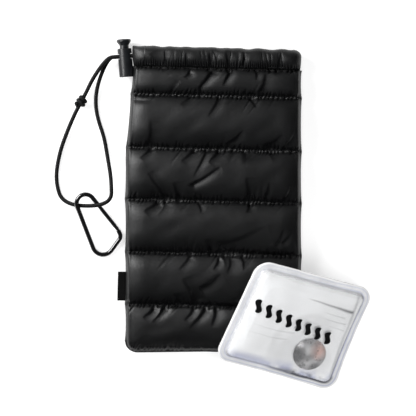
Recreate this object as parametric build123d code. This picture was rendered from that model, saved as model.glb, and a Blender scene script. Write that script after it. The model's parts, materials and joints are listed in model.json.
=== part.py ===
from build123d import *
import math
import os

os.makedirs("parts", exist_ok=True)

# A gel heat pack with its padded drawstring pouch, cord lock and carabiner, in millimetres.
# The pouch lies on its back with the mouth towards +Y. Z is zero on the table, and the
# origin is under the pouch, in the middle of the channel that crosses its middle.

# Pouch outline
pouch_right_x = 66.0
pouch_left_x_at_bottom = -66.2
pouch_left_x_at_mouth = -58.8
mouth_y = 135.0
bottom_y = -93.5
quilt_rows_y = [-59.0, -19.7, 19.7, 58.7, 98.8]
quilt_slope_deg = 1.6
bottom_corner_radius = 14.0

# Pouch layers
front_crowns = [6.5, 9.5, 9.5, 9.5, 9.5, 6.5]
back_crowns = [5.5, 5.5, 5.5, 5.5, 5.5, 5.5]
flat_cut = 0.5
side_roll = 16.0
side_wall = 2.0
stitch_wall = 1.2
least_bulge = 0.4
shell_fabric = 0.6
lining_fabric = 0.4
pocket_gap = 4.8
seam_width = 4.0
stitch_margin = 1.0
wadding_clearance = 0.15

# Hem casing round the mouth
hem_height = 15.4
hem_crown = 5.5
hem_cord_offset = 5.6
tunnel_clearance = 0.4

# Side label, a folded woven tape
label_height = 22.0
label_reach = 6.5
label_tape = 0.6
label_gap = 0.4
label_above_bottom = 49.5

# Drawcord, an elastic cord
cord_diameter = 3.0
strand_gap = 0.3
lock_entry_run = 2.2
left_exit_run = 14.5
right_exit_run = 14.0
thread_half_run = 18.25

# Knot in the left strand, of two turns drawn tight
knot_turn_diameter = 3.5
knot_turn_spacing = 3.0
knot_bore_gap = 0.25

# Cord lock: a barrel with a sprung plunger across the two strands
lock_gap = 2.35
lock_tilt_deg = 4.4
barrel_diameter = 10.7
barrel_edge_radius = 0.5
barrel_above_cord = 5.8
barrel_below_cord = 15.6
barrel_floor = 2.5
plunger_diameter = 7.4
running_clearance = 0.08
button_travel = 2.2
button_diameter = 10.9
button_height = 4.6
button_neck_diameter = 6.8
button_flare = 3.0
button_rim_bevel = 0.7
button_stop_gap = 0.2
stem_joint_depth = 0.6
plunger_below_cord = 5.4
cord_slot_clearance = 0.5
grip_gap = 0.1
lock_slide = 3.5
lock_spring_wire = 0.7
lock_spring_turns = 4
lock_spring_mean_diameter = 5.2
lock_spring_end_gap = 0.05

# Carabiner, bent from round rod; its own frame has the spine along +Y
rod_diameter = 3.4
gate_diameter = 3.0
top_straight = 8.4
top_bend_radius = 6.7
bottom_bend_radius = 8.0
bottom_bend_deg = 123.0
nose_bend_radius = 4.5
nose_bend_deg = 62.0
nose_straight = 2.8
nose_gap = 0.8
gate_top = (8.34, -3.68)
gate_lean_deg = 17.4
gate_length = 22.4
gate_tongue = 1.2
gate_fork_clearance = 0.15
gate_end_reach = 1.5
gate_turn_gap = 0.7
gate_open_deg = 28.0
tongue_gap = 0.1
tongue_root = 0.5
nose_tongue_width = 1.8
nose_tongue_reach = 2.2
fork_end_gap = 1.0
rivet_diameter = 1.2
rivet_head_reach = 0.1
gate_bore_diameter = 1.5
gate_bore_clearance = 0.05
gate_spring_length = 5.0
gate_spring_wall = 0.25
gate_pusher_length = 2.0

# How the carabiner lies: threaded by the cord at its origin, its far end on the table
thread_at = (-94.75, 16.2)
rise_towards = (-0.75, 0.665)
carabiner_prop_deg = 10.5
carabiner_turn_deg = 20.7
thread_turn_deg = 2.3
thread_crossing_deg = 26.5

# Gel pack: two welded clear films round a gel, with a domed metal disc
pack_width = 93.7
pack_height = 83.5
pack_slew = 0.082
pack_corner_radius = 11.0
pack_weld = 5.0
pack_film = 0.5
pack_crown = 10.0
pack_underside_crown = 2.5
pack_from_corner = (-5.8, 21.6)
pack_fall_deg = -61.5
pack_edge_turn_deg = 43.9
crest_past_centre = 2.8
flank_rise = 2.0
disc_diameter = 25.0
disc_thickness = 0.4
disc_rise = 1.5
disc_from_corner = (28.55, 23.15)
disc_height = 5.0
disc_travel = 1.0
disc_clearance = 0.3
gel_clearance = 0.1
soft_clearance = 0.3
table_clearance = 0.3

# Places that follow from the sizes above
slope = math.tan(math.radians(quilt_slope_deg))
back_plane_z = max(back_crowns) - flat_cut
pocket_floor_z = back_plane_z + lining_fabric
pocket_roof_z = pocket_floor_z + pocket_gap
front_plane_z = pocket_roof_z + lining_fabric
middle_z = (pocket_floor_z + pocket_roof_z) / 2
pouch_width = pouch_right_x - pouch_left_x_at_bottom
hem_stitch_y = mouth_y - hem_height
cord_radius = cord_diameter / 2
strand_spacing = cord_diameter + strand_gap
tunnel_radius = cord_radius + tunnel_clearance
rod_radius = rod_diameter / 2


def save(shape, name):
    """Write one sub-part."""
    export_step(shape, f"parts/{name}.step")


def left_x(y):
    """Left edge of the pouch at a height, which leans in towards the mouth."""
    share = (y - bottom_y) / (mouth_y - bottom_y)
    return pouch_left_x_at_bottom + share * (pouch_left_x_at_mouth - pouch_left_x_at_bottom)


def quilt_point(across, y, z):
    """Point of the quilting at a share of the width, with Y measured on the middle line."""
    x = left_x(y) + across * (pouch_right_x - left_x(y))
    return Vector(x, y - slope * x, z)


# Shares of the width at which the padding's profile changes
edge_steps = [0.0, side_wall / 2, side_wall]
edge_steps += [side_wall + share * (side_roll - side_wall) for share in (0.18, 0.5, 1.0)]
left_shares = [step / pouch_width for step in edge_steps]
shares = left_shares + [1 - share for share in reversed(left_shares)]


def edge_distance(across):
    """Distance from the nearer side edge at a share of the width."""
    return min(across, 1 - across) * pouch_width


def roll_share(across):
    """How much of its full crown the padding has there, as its sides roll down to the seams."""
    inward = min(edge_distance(across), side_roll) / side_roll
    return math.sqrt(1 - (1 - inward) ** 2)


def low_edge_y(across):
    """Bottom edge of the pouch, with its round corners."""
    inward = min(edge_distance(across), bottom_corner_radius)
    return bottom_y + bottom_corner_radius - math.sqrt(
        bottom_corner_radius ** 2 - (bottom_corner_radius - inward) ** 2
    )


def channel_edges(channel, across):
    """Lower and upper stitch line of a channel."""
    rows = [low_edge_y(across)] + quilt_rows_y + [hem_stitch_y]
    return rows[channel], rows[channel + 1]


channel_count = len(front_crowns)


def panel_section(across, plane_z, way, crowns):
    """Closed profile of a quilted panel, seen along the channels."""
    low = channel_edges(0, across)[0]
    foot = quilt_point(across, low, plane_z)
    edges = [Line(foot, quilt_point(across, low, plane_z + way * stitch_wall))]
    for channel in range(channel_count):
        lower, upper = channel_edges(channel, across)
        crown = max(crowns[channel] * roll_share(across), stitch_wall + least_bulge)
        edges.append(
            ThreePointArc(
                quilt_point(across, lower, plane_z + way * stitch_wall),
                quilt_point(across, (lower + upper) / 2, plane_z + way * crown),
                quilt_point(across, upper, plane_z + way * stitch_wall),
            )
        )
    top = quilt_point(across, hem_stitch_y, plane_z + way * stitch_wall)
    edges.append(Line(top, quilt_point(across, hem_stitch_y, plane_z)))
    edges.append(Line(quilt_point(across, hem_stitch_y, plane_z), foot))
    return make_face(Wire(edges))


def channel_section(channel, across, plane_z, way, crowns, inset, drop):
    """Closed profile of one channel's inside, or of its wadding, inset and lowered by a margin."""
    lower, upper = channel_edges(channel, across)
    lower += inset
    upper -= inset
    wall = plane_z + way * (stitch_wall - shell_fabric)
    crown = crowns[channel] * roll_share(across) - drop
    edges = [
        Line(quilt_point(across, lower, plane_z), quilt_point(across, lower, wall)),
        ThreePointArc(
            quilt_point(across, lower, wall),
            quilt_point(across, (lower + upper) / 2, plane_z + way * crown),
            quilt_point(across, upper, wall),
        ),
        Line(quilt_point(across, upper, wall), quilt_point(across, upper, plane_z)),
        Line(quilt_point(across, upper, plane_z), quilt_point(across, lower, plane_z)),
    ]
    return make_face(Wire(edges))


def channel_solid(channel, plane_z, way, crowns, inset, drop):
    """Space inside one channel, or its wadding, from side seam to side seam."""
    inner = shares[2:-2]
    sections = [channel_section(channel, share, plane_z, way, crowns, inset, drop) for share in inner]
    return loft(sections, ruled=True)


def quilted_panel(plane_z, way, crowns):
    """Outer fabric of one side of the pouch, and the wadding of its channels."""
    shell = loft([panel_section(share, plane_z, way, crowns) for share in shares], ruled=True)
    wadding = []
    for channel in range(channel_count):
        shell -= channel_solid(channel, plane_z, way, crowns, stitch_margin, shell_fabric)
        wadding.append(
            channel_solid(
                channel,
                plane_z,
                way,
                crowns,
                stitch_margin + wadding_clearance,
                shell_fabric + wadding_clearance,
            )
        )
    return shell, wadding


def pouch_face(inset, top_y):
    """Flat outline of the pouch up to a height, with its bottom corners rounded."""
    low = bottom_y + inset
    corners = []
    for y, side in ((low, 0), (low, 1), (top_y, 1), (top_y, 0)):
        x = pouch_right_x - inset if side else left_x(y) + inset
        corners.append((x, y - slope * x))
    face = make_face(Polyline(*corners, close=True))
    bottom_corners = face.vertices().sort_by(Axis.Y)[0:2]
    return fillet(bottom_corners, bottom_corner_radius - inset)


def above_table(shape):
    """Cut a form flat where it lies on the table."""
    room = 2 * pouch_width
    return shape & Pos(0, 0, room) * Box(4 * room, 4 * room, 2 * room)


# Outer fabric, wadding and lining of both sides
front_shell, front_wadding = quilted_panel(front_plane_z, 1, front_crowns)
back_shell, back_wadding = quilted_panel(back_plane_z, -1, back_crowns)
back_shell = above_table(back_shell)
back_wadding = [above_table(strip) for strip in back_wadding]
lining_face = pouch_face(0.0, hem_stitch_y)
back_lining = extrude(Pos(0, 0, back_plane_z) * lining_face, lining_fabric)
front_lining = extrude(Pos(0, 0, pocket_roof_z) * lining_face, lining_fabric)

# Seams that join the two sides round the pocket
seam_face = pouch_face(0.0, hem_stitch_y) - pouch_face(seam_width, mouth_y + seam_width)
seam_ring = extrude(Pos(0, 0, pocket_floor_z) * seam_face, pocket_gap)
seam_split_y = bottom_y + bottom_corner_radius + slope * pouch_right_x
seam_room = 2 * pouch_width
upper_room = Pos(0, seam_split_y + seam_room, 0) * Box(4 * seam_room, 2 * seam_room, seam_room)
side_seams = (seam_ring & upper_room).solids().sort_by(Axis.X)
bottom_seam = seam_ring - upper_room

# Hem casing in its own frame: X along the hem, Y towards the mouth
hem_depth = (mouth_y - hem_stitch_y) * math.cos(math.radians(quilt_slope_deg))
hem_frame = Pos(0, (mouth_y + hem_stitch_y) / 2, 0) * Rot(0, 0, -quilt_slope_deg)
hem_reach = middle_z - back_plane_z + hem_crown
fold_right_x = pouch_right_x - hem_reach
hem_end_x = pouch_left_x_at_mouth
fold_left_x = hem_end_x + hem_reach


def hem_profile(x):
    """Profile of the front hem across its length, as a face at an X of the hem's frame."""
    base = front_plane_z
    half = hem_depth / 2
    edges = [
        Line(Vector(x, -half, base), Vector(x, -half, base + stitch_wall)),
        ThreePointArc(
            Vector(x, -half, base + stitch_wall),
            Vector(x, 0, base + hem_crown),
            Vector(x, half, base + stitch_wall),
        ),
        Line(Vector(x, half, base + stitch_wall), Vector(x, half, base)),
        Line(Vector(x, half, base), Vector(x, -half, base)),
    ]
    return make_face(Wire(edges))


def hem_strand(side):
    """One strand inside the hem, from its left end to the right end: an S-bend, then straight."""
    near = strand_spacing / 2
    drop = hem_cord_offset - near
    start = Vector(hem_end_x, 0, middle_z + side * near)
    half_way = Vector((hem_end_x + fold_left_x) / 2, 0, middle_z + side * (near + drop / 2))
    finish = Vector(fold_left_x, 0, middle_z + side * hem_cord_offset)
    first = TangentArc(start, half_way, tangent=Vector(1, 0, 0))
    second = TangentArc(half_way, finish, tangent=first % 1)
    run = Line(finish, Vector(fold_right_x, 0, middle_z + side * hem_cord_offset))
    return [first, second, run]


def tube(path, radius):
    """Round tube along a path."""
    start = Plane(origin=path @ 0, z_dir=path % 0)
    return sweep(start * Circle(radius), path=path)


hem_turn = ThreePointArc(
    Vector(fold_right_x, 0, middle_z + hem_cord_offset),
    Vector(fold_right_x + hem_cord_offset, 0, middle_z),
    Vector(fold_right_x, 0, middle_z - hem_cord_offset),
)
hem_path = Wire(hem_strand(1) + [hem_turn] + hem_strand(-1))
drawcord_hem = hem_frame * tube(hem_path, cord_radius)
tunnels = [tube(Wire(hem_strand(side)), tunnel_radius) for side in (1, -1)]
tunnels.append(tube(Wire([hem_turn]), tunnel_radius))


def tunnelled(shape):
    """Cut the drawcord's tunnel through a piece of the hem and put it in its place."""
    for tunnel in tunnels:
        shape -= tunnel
    return above_table(hem_frame * shape)


fold_axis = Axis((fold_right_x, 0, middle_z), (0, 1, 0))
front_strip = extrude(hem_profile(fold_left_x), fold_right_x - fold_left_x, dir=(1, 0, 0))
back_strip = front_strip.rotate(Axis((0, 0, middle_z), (1, 0, 0)), 180)
right_fold = revolve(hem_profile(fold_right_x), fold_axis, 180)
left_fold = Pos(fold_left_x + fold_right_x, 0, 0) * Rot(0, 0, 180) * right_fold
hem_front = tunnelled(front_strip)
hem_back = tunnelled(back_strip)
hem_fold_right = tunnelled(right_fold)
hem_fold_left = tunnelled(left_fold)

# Side label: a tape folded outwards, its ends against the side seam
label_centre_y = bottom_y + label_above_bottom
label_thick = 2 * label_tape + label_gap
label_root_x = left_x(label_centre_y)
edge_lean = math.atan2(pouch_left_x_at_mouth - pouch_left_x_at_bottom, mouth_y - bottom_y)
label_lean = Rot(0, 0, -math.degrees(edge_lean))
label_body = Pos(-label_reach / 2, 0, 0) * Box(label_reach, label_height, label_thick)
label_slit = Pos(-(label_reach - label_tape) / 2, 0, 0) * Box(label_reach - label_tape, label_height, label_gap)
label_place = Pos(label_root_x, label_centre_y - slope * label_root_x, middle_z) * label_lean
side_label = label_place * (label_body - label_slit)

# Carabiner frame, from the gate's pivot round the top, the spine and the nose
lean = math.radians(gate_lean_deg)
gate_direction = Vector(math.sin(lean), -math.cos(lean), 0)
pivot = Vector(*gate_top, 0)
gate_foot = pivot + gate_direction * gate_length
frame_start = pivot - gate_direction * (gate_end_reach + gate_turn_gap)
top_start = pivot - gate_direction * top_straight
top_line = Line(frame_start, top_start)
top_arc = JernArc(top_start, gate_direction * -1, top_bend_radius, 180 - gate_lean_deg)

# The nose meets the gate's foot, so the spine's end and the bottom run follow from it
run_heading = math.radians(bottom_bend_deg - 90)
nose_heading = run_heading + math.radians(nose_bend_deg)
run_way = Vector(math.cos(run_heading), math.sin(run_heading), 0)
nose_way = Vector(math.cos(nose_heading), math.sin(nose_heading), 0)
bottom_bend = Vector(1 + run_way.Y, -run_way.X, 0) * bottom_bend_radius
nose_bend = Vector(nose_way.Y - run_way.Y, run_way.X - nose_way.X, 0) * nose_bend_radius
bends = bottom_bend + nose_bend + nose_way * (nose_straight + nose_gap)
spine_x = (top_arc @ 1).X
bottom_straight = (gate_foot.X - spine_x - bends.X) / run_way.X
bottom_bend_y = gate_foot.Y - bends.Y - bottom_straight * run_way.Y
spine_line = Line(top_arc @ 1, Vector(spine_x, bottom_bend_y, 0))
bottom_arc = JernArc(spine_line @ 1, Vector(0, -1, 0), bottom_bend_radius, bottom_bend_deg)
bottom_line = Line(bottom_arc @ 1, (bottom_arc @ 1) + (bottom_arc % 1) * bottom_straight)
nose_arc = JernArc(bottom_line @ 1, bottom_arc % 1, nose_bend_radius, nose_bend_deg)
nose_line = Line(nose_arc @ 1, (nose_arc @ 1) + (nose_arc % 1) * nose_straight)
frame_path = Wire([top_line, top_arc, spine_line, bottom_arc, bottom_line, nose_arc, nose_line])
frame_rod = tube(frame_path, rod_radius)
print("gap from nose to gate foot", round(((nose_line @ 1) - gate_foot).length, 2))
print("bottom bend at", round(bottom_bend_y, 2), "bottom run", round(bottom_straight, 2))


def along_gate(start, finish, offset=0.0):
    """Frame on the gate's line, Z along the gate, halfway between two distances from the pivot."""
    place = pivot + gate_direction * ((start + finish) / 2) + Vector(0, 0, offset)
    return Plane(origin=place, x_dir=Vector(0, 0, 1), z_dir=gate_direction)


# Tongue at the pivot, in the fork of the gate, and tongue on the nose
tongue_round = gate_end_reach - tongue_gap
tongue_back = gate_end_reach + gate_turn_gap + tongue_root
pivot_tongue = along_gate(-tongue_back, 0) * Box(gate_tongue, 2 * tongue_round, tongue_back)
pivot_tongue += Pos(*pivot) * Cylinder(tongue_round, gate_tongue)
nose_direction = nose_arc % 1
nose_place = (nose_line @ 1) + nose_direction * ((nose_tongue_reach - tongue_root) / 2)
nose_tongue = Plane(origin=nose_place, x_dir=Vector(0, 0, 1), z_dir=nose_direction) * Box(
    gate_tongue, nose_tongue_width, nose_tongue_reach + tongue_root
)
rivet_hole = Pos(*pivot) * Cylinder(rivet_diameter / 2, 2 * rod_diameter)
frame_bar = frame_rod + pivot_tongue + nose_tongue - rivet_hole

# Gate: a round bar forked at both ends, bored for its spring and pusher
fork_slot = gate_tongue + 2 * gate_fork_clearance
gate_radius = gate_diameter / 2
gate_bar = along_gate(-gate_end_reach, gate_length) * Cylinder(gate_radius, gate_length + gate_end_reach)
top_fork_depth = tongue_round + fork_end_gap
fork_start = -gate_end_reach - fork_end_gap
gate_bar -= along_gate(fork_start, top_fork_depth) * Box(
    fork_slot, 2 * gate_diameter, top_fork_depth - fork_start
)
foot_fork_start = gate_length - nose_tongue_reach - fork_end_gap
foot_fork_end = gate_length + fork_end_gap
gate_bar -= along_gate(foot_fork_start, foot_fork_end) * Box(
    fork_slot, 2 * gate_diameter, foot_fork_end - foot_fork_start
)
gate_bar -= Pos(*pivot) * Cylinder(rivet_diameter / 2 + running_clearance, 2 * rod_diameter)
pusher_end = tongue_round + gate_bore_clearance
spring_start = pusher_end + gate_pusher_length
spring_finish = spring_start + gate_spring_length
bore_end = spring_finish + gate_bore_clearance
gate_bar -= along_gate(0, bore_end) * Cylinder(gate_bore_diameter / 2, bore_end)
bore_fill_radius = gate_bore_diameter / 2 - gate_bore_clearance
pusher = along_gate(pusher_end, spring_start) * Cylinder(bore_fill_radius, gate_pusher_length)
gate_spring_tube = Cylinder(bore_fill_radius, gate_spring_length)
gate_spring_tube -= Cylinder(bore_fill_radius - gate_spring_wall, gate_spring_length)
gate_coil = along_gate(spring_start, spring_finish) * gate_spring_tube
rivet = Pos(*pivot) * Cylinder(rivet_diameter / 2, gate_diameter + 2 * rivet_head_reach)

# Place of the carabiner: propped up by the cord at its origin and let down to the table
prop_slope = math.tan(math.radians(carabiner_prop_deg))
rise_direction = Vector(*rise_towards, 0).normalized()
carabiner_normal = Vector(
    -prop_slope * rise_direction.X, -prop_slope * rise_direction.Y, 1
).normalized()
turn = math.radians(carabiner_turn_deg)
flat_x = Vector(math.cos(turn), math.sin(turn), 0)
carabiner_x = (flat_x - carabiner_normal * flat_x.dot(carabiner_normal)).normalized()
low_plane = Plane(origin=(*thread_at, 0), x_dir=carabiner_x, z_dir=carabiner_normal)
thread_height = -(low_plane * frame_bar).bounding_box().min.Z
thread_point = Vector(*thread_at, thread_height)
carabiner_plane = Plane(origin=thread_point, x_dir=carabiner_x, z_dir=carabiner_normal)
carabiner_frame = carabiner_plane * frame_bar
carabiner_gate = carabiner_plane * gate_bar
gate_pusher = carabiner_plane * pusher
gate_spring = carabiner_plane * gate_coil
gate_rivet = carabiner_plane * rivet

# Straight run of the cord through the carabiner
thread_turn = math.radians(thread_turn_deg)
run_flat = Vector(math.cos(thread_turn), math.sin(thread_turn), 0)
run_in_plane = (run_flat - carabiner_normal * run_flat.dot(carabiner_normal)).normalized()
crossing = math.radians(thread_crossing_deg)
thread_direction = run_in_plane * math.cos(crossing) + carabiner_normal * math.sin(crossing)
run_start = thread_point - thread_direction * (thread_half_run / thread_direction.X)
run_end = thread_point + thread_direction * (thread_half_run / thread_direction.X)

# Drawcord's route outside the hem, as points chosen by hand from the lock round the
# carabiner and back. Each strand starts at the hem's left end and passes through the lock.
barrel_radius = barrel_diameter / 2
lock_x = hem_end_x - lock_gap - barrel_radius
hem_centre_y = (mouth_y + hem_stitch_y) / 2
hem_end = Vector(hem_end_x, hem_centre_y - slope * hem_end_x, 0)
entry_x = hem_end_x - lock_entry_run
lock_entry = Vector(entry_x, hem_centre_y - slope * entry_x, 0)
lock_slope = math.tan(math.radians(lock_tilt_deg))


def on_lock_line(x):
    """Point at an X on the line of the strands through the lock."""
    return Vector(x, lock_entry.Y + lock_slope * (x - lock_entry.X), 0)


def raised(point, z):
    """The same point at another height."""
    return Vector(point.X, point.Y, z)


upper_z = middle_z + strand_spacing / 2
lower_z = middle_z - strand_spacing / 2
cord_route = [
    raised(hem_end, upper_z),
    raised(lock_entry, upper_z),
    raised(on_lock_line(lock_x - left_exit_run), upper_z),
    Vector(-90.5, 112.5, 6.6),
    Vector(-96.0, 100.8, 5.0),
    Vector(-103.3, 87.6, 5.0),
    Vector(-109.8, 73.0, 2.6),
    Vector(-116.2, 55.5, 1.7),
    Vector(-119.2, 35.0, 1.7),
    run_start,
    run_end,
    Vector(-76.6, 35.5, 8.0),
    Vector(-79.8, 53.5, 3.0),
    Vector(-82.3, 68.0, 1.8),
    Vector(-87.6, 83.0, 1.7),
    Vector(-89.0, 97.5, 2.6),
    Vector(-85.9, 112.0, 4.4),
    raised(on_lock_line(lock_x - right_exit_run), lower_z),
    raised(lock_entry, lower_z),
    raised(hem_end, lower_z),
]


def corner_radii(route):
    """Largest alike radius for each corner of a route, from its two runs and its turn."""
    radii = []
    for before, point, after in zip(route, route[1:], route[2:]):
        first = point - before
        second = after - point
        half_turn = math.radians(first.get_angle(second)) / 2
        radii.append(0.45 * min(first.length, second.length) / math.tan(half_turn))
    return radii


cord_radii = corner_radii(cord_route)
print("cord corner radii", [round(radius, 1) for radius in cord_radii])
cord_path = FilletPolyline(*cord_route, radius=cord_radii)
drawcord_loop = tube(cord_path, cord_radius)
print("cord length", round(cord_path.length, 1))
print("cord volume over section times length", round(
    drawcord_loop.volume / (math.pi * cord_radius ** 2 * cord_path.length), 4
))

# Knot in the left strand: two turns of cord, drawn tight round it
knot_turn_radius = knot_turn_diameter / 2
knot_centre = (cord_route[4] + cord_route[5]) / 2
knot_direction = (cord_route[5] - cord_route[4]).normalized()
knot_plane = Plane(origin=knot_centre, z_dir=knot_direction)
knot_ring_radius = cord_radius + knot_bore_gap + knot_turn_radius
knot_turn = Torus(knot_ring_radius, knot_turn_radius)
cord_knot = knot_plane * (
    Pos(0, 0, knot_turn_spacing / 2) * knot_turn + Pos(0, 0, -knot_turn_spacing / 2) * knot_turn
)

# Cord lock frame: Y along the barrel, X along the strands
lock_centre = raised(on_lock_line(lock_x), middle_z)
lock_frame = Pos(*lock_centre) * Rot(0, 0, lock_tilt_deg)
strand_stack = strand_spacing + cord_diameter
slot_across = strand_stack + cord_slot_clearance
slot_along = cord_diameter + 2 * cord_slot_clearance


def y_cylinder(radius, low, high):
    """Cylinder along Y between two heights."""
    return Pos(0, (low + high) / 2, 0) * Rot(90, 0, 0) * Cylinder(radius, high - low)


bore_radius = plunger_diameter / 2 + running_clearance
bore_floor = -barrel_below_cord + barrel_floor
barrel = y_cylinder(barrel_radius, -barrel_below_cord, barrel_above_cord)
barrel = fillet(barrel.edges().filter_by(GeomType.CIRCLE), barrel_edge_radius)
barrel -= y_cylinder(bore_radius, bore_floor, barrel_above_cord + 1)
barrel -= Box(2 * barrel_diameter, slot_along, slot_across)
lock_barrel = lock_frame * barrel

# Plunger: a stem with its own slot, a neck and a flared button
plunger_slot_low = -cord_radius - grip_gap
plunger_slot_high = cord_radius + button_travel + grip_gap
button_low = barrel_above_cord + button_travel + button_stop_gap
button_top = button_low + button_height
stem_top = barrel_above_cord - stem_joint_depth
button_outline = [
    (0, stem_top),
    (button_neck_diameter / 2, stem_top),
    (button_neck_diameter / 2, button_low),
    (button_diameter / 2, button_low + button_flare),
    (button_diameter / 2, button_top - button_rim_bevel),
    (button_diameter / 2 - button_rim_bevel, button_top),
    (0, button_top),
]
button = revolve(make_face(Polyline(*button_outline, close=True)), Axis.Y)
stem = y_cylinder(plunger_diameter / 2, -plunger_below_cord, stem_top)
slot_centre = (plunger_slot_low + plunger_slot_high) / 2
stem -= Pos(0, slot_centre, 0) * Box(
    2 * plunger_diameter, plunger_slot_high - plunger_slot_low, slot_across
)
lock_plunger = lock_frame * (stem + button)

# Spring under the plunger: an open helix of round wire
wire_radius = lock_spring_wire / 2
spring_low = bore_floor + wire_radius + lock_spring_end_gap
spring_high = -plunger_below_cord - wire_radius - lock_spring_end_gap
spring_height = spring_high - spring_low
spring_pitch = spring_height / lock_spring_turns
spring_path = Helix(pitch=spring_pitch, height=spring_height, radius=lock_spring_mean_diameter / 2)
spring_section = Plane(origin=spring_path @ 0, z_dir=spring_path % 0) * Circle(wire_radius)
spring = sweep(spring_section, path=spring_path, is_frenet=True)
lock_spring = lock_frame * Pos(0, spring_low, 0) * Rot(-90, 0, 0) * spring
print("lock spring gap between turns", round(spring_pitch - lock_spring_wire, 2))

# Gel pack frame: X along its upper edge, Y towards that edge, Z out of its face. The pack
# leans on the lower flank of the pouch's bottom channel, with its far corner on the table.
channel_rise = front_plane_z + front_crowns[0] + flank_rise
rest_rise = channel_rise + pack_underside_crown + soft_clearance - pack_film - table_clearance
edge_turn = math.radians(pack_edge_turn_deg)
corner_out = pack_width / 2 - pack_slew * pack_height / 2
corner_loss = (math.sqrt(2) - 1) * pack_corner_radius
pack_reach = corner_out * math.cos(edge_turn) + pack_height / 2 * math.sin(edge_turn) - corner_loss
pack_tilt = math.asin(rest_rise / (pack_reach - crest_past_centre))
pack_centre = (pouch_right_x + pack_from_corner[0], bottom_y + pack_from_corner[1])
fall = math.radians(pack_fall_deg)
fall_direction = Vector(
    math.cos(fall) * math.cos(pack_tilt), math.sin(fall) * math.cos(pack_tilt), -math.sin(pack_tilt)
)
level_direction = Vector(-math.sin(fall), math.cos(fall), 0)
pack_x = fall_direction * math.cos(edge_turn) + level_direction * math.sin(edge_turn)
pack_normal = fall_direction.cross(level_direction)
pack_plane = Plane(origin=(*pack_centre, 0), x_dir=pack_x, z_dir=pack_normal)

# Profiles of the pillow: share of its crown, and distance in from the weld
upper_profile = [(0.0, 0.0), (0.35, 0.6), (0.65, 3.5), (0.86, 9.0), (0.96, 17.0), (1.0, 27.0)]
lower_profile = [(0.0, 0.0), (0.5, 1.5), (0.85, 5.0), (1.0, 13.0)]


def pack_outline(inset, z):
    """Outline of the pack at a distance in from its edge: a slewed, round-cornered square."""
    half_height = pack_height / 2 - inset
    half_width = pack_width / 2 - inset
    corners = []
    for side, end in ((-1, -1), (1, -1), (1, 1), (-1, 1)):
        corners.append((side * half_width + pack_slew * end * half_height, end * half_height))
    face = make_face(Polyline(*corners, close=True))
    face = fillet(face.vertices(), pack_corner_radius - inset / 4)
    return Pos(0, 0, z) * face


def pillow(profile, crown, extra):
    """Crowned half of the pack over its welded flange, drawn in by an extra distance."""
    faces = [pack_outline(pack_weld + inward + extra, share * crown) for share, inward in profile]
    return loft(faces, ruled=True)


def film(profile, crown, way):
    """One clear film: its half of the flange and its bulge."""
    flange = extrude(pack_outline(0, 0), way * pack_film)
    outer = pillow(profile, way * crown, 0)
    inner = pillow(profile, way * (crown - pack_film), pack_film)
    return flange + outer - inner


upper_film = film(upper_profile, pack_crown, 1)
lower_film = film(lower_profile, pack_underside_crown, -1)
gel = pillow(upper_profile, pack_crown - pack_film - gel_clearance, pack_film + gel_clearance)
gel += pillow(
    lower_profile, -(pack_underside_crown - pack_film - gel_clearance), pack_film + gel_clearance
)
disc_radius = disc_diameter / 2
disc_place = (pack_width / 2 - disc_from_corner[0], disc_from_corner[1] - pack_height / 2)
well_floor = disc_height - disc_thickness - disc_travel - disc_clearance
well_depth = 2 * pack_crown
gel -= Pos(*disc_place, well_floor + well_depth / 2) * Cylinder(disc_radius + disc_clearance, well_depth)


def dome_arc(z):
    """Half of the disc's domed profile, from its middle to its rim."""
    ball = (disc_radius ** 2 + disc_rise ** 2) / (2 * disc_rise)
    half_way = disc_radius / 2
    half_height = math.sqrt(ball ** 2 - half_way ** 2) - (ball - disc_rise)
    return ThreePointArc((0, 0, z + disc_rise), (half_way, 0, z + half_height), (disc_radius, 0, z))


top_arc_of_disc = dome_arc(0)
under_arc_of_disc = dome_arc(-disc_thickness)
disc_profile = make_face(
    Wire(
        [
            top_arc_of_disc,
            Line(top_arc_of_disc @ 1, under_arc_of_disc @ 1),
            under_arc_of_disc,
            Line(under_arc_of_disc @ 0, top_arc_of_disc @ 0),
        ]
    )
)
disc = Pos(*disc_place, disc_height) * revolve(disc_profile, Axis.Z)

# The pack is set down until its lowest corner is just clear of the table
pack_lift = table_clearance - (pack_plane * (upper_film + lower_film)).bounding_box().min.Z
pack_place = Pos(0, 0, pack_lift) * pack_plane.location
pack_upper_film = pack_place * upper_film
pack_lower_film = pack_place * lower_film
pack_gel = pack_place * gel
clicker_disc = pack_place * disc

# One file for each sub-part
parts = {
    "front_shell": front_shell,
    "back_shell": back_shell,
    "front_wadding": Compound(front_wadding),
    "back_wadding": Compound(back_wadding),
    "front_lining": front_lining,
    "back_lining": back_lining,
    "hem_front": hem_front,
    "hem_back": hem_back,
    "hem_fold_right": hem_fold_right,
    "hem_fold_left": hem_fold_left,
    "side_seam_left": side_seams[0],
    "side_seam_right": side_seams[-1],
    "bottom_seam": bottom_seam,
    "side_label": side_label,
    "drawcord_hem": drawcord_hem,
    "drawcord_loop": drawcord_loop,
    "cord_knot": cord_knot,
    "lock_barrel": lock_barrel,
    "lock_plunger": lock_plunger,
    "lock_spring": lock_spring,
    "carabiner_frame": carabiner_frame,
    "carabiner_gate": carabiner_gate,
    "gate_rivet": gate_rivet,
    "gate_spring": gate_spring,
    "gate_pusher": gate_pusher,
    "pack_upper_film": pack_upper_film,
    "pack_lower_film": pack_lower_film,
    "pack_gel": pack_gel,
    "clicker_disc": clicker_disc,
}
for name, shape in parts.items():
    save(shape, name)

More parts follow.
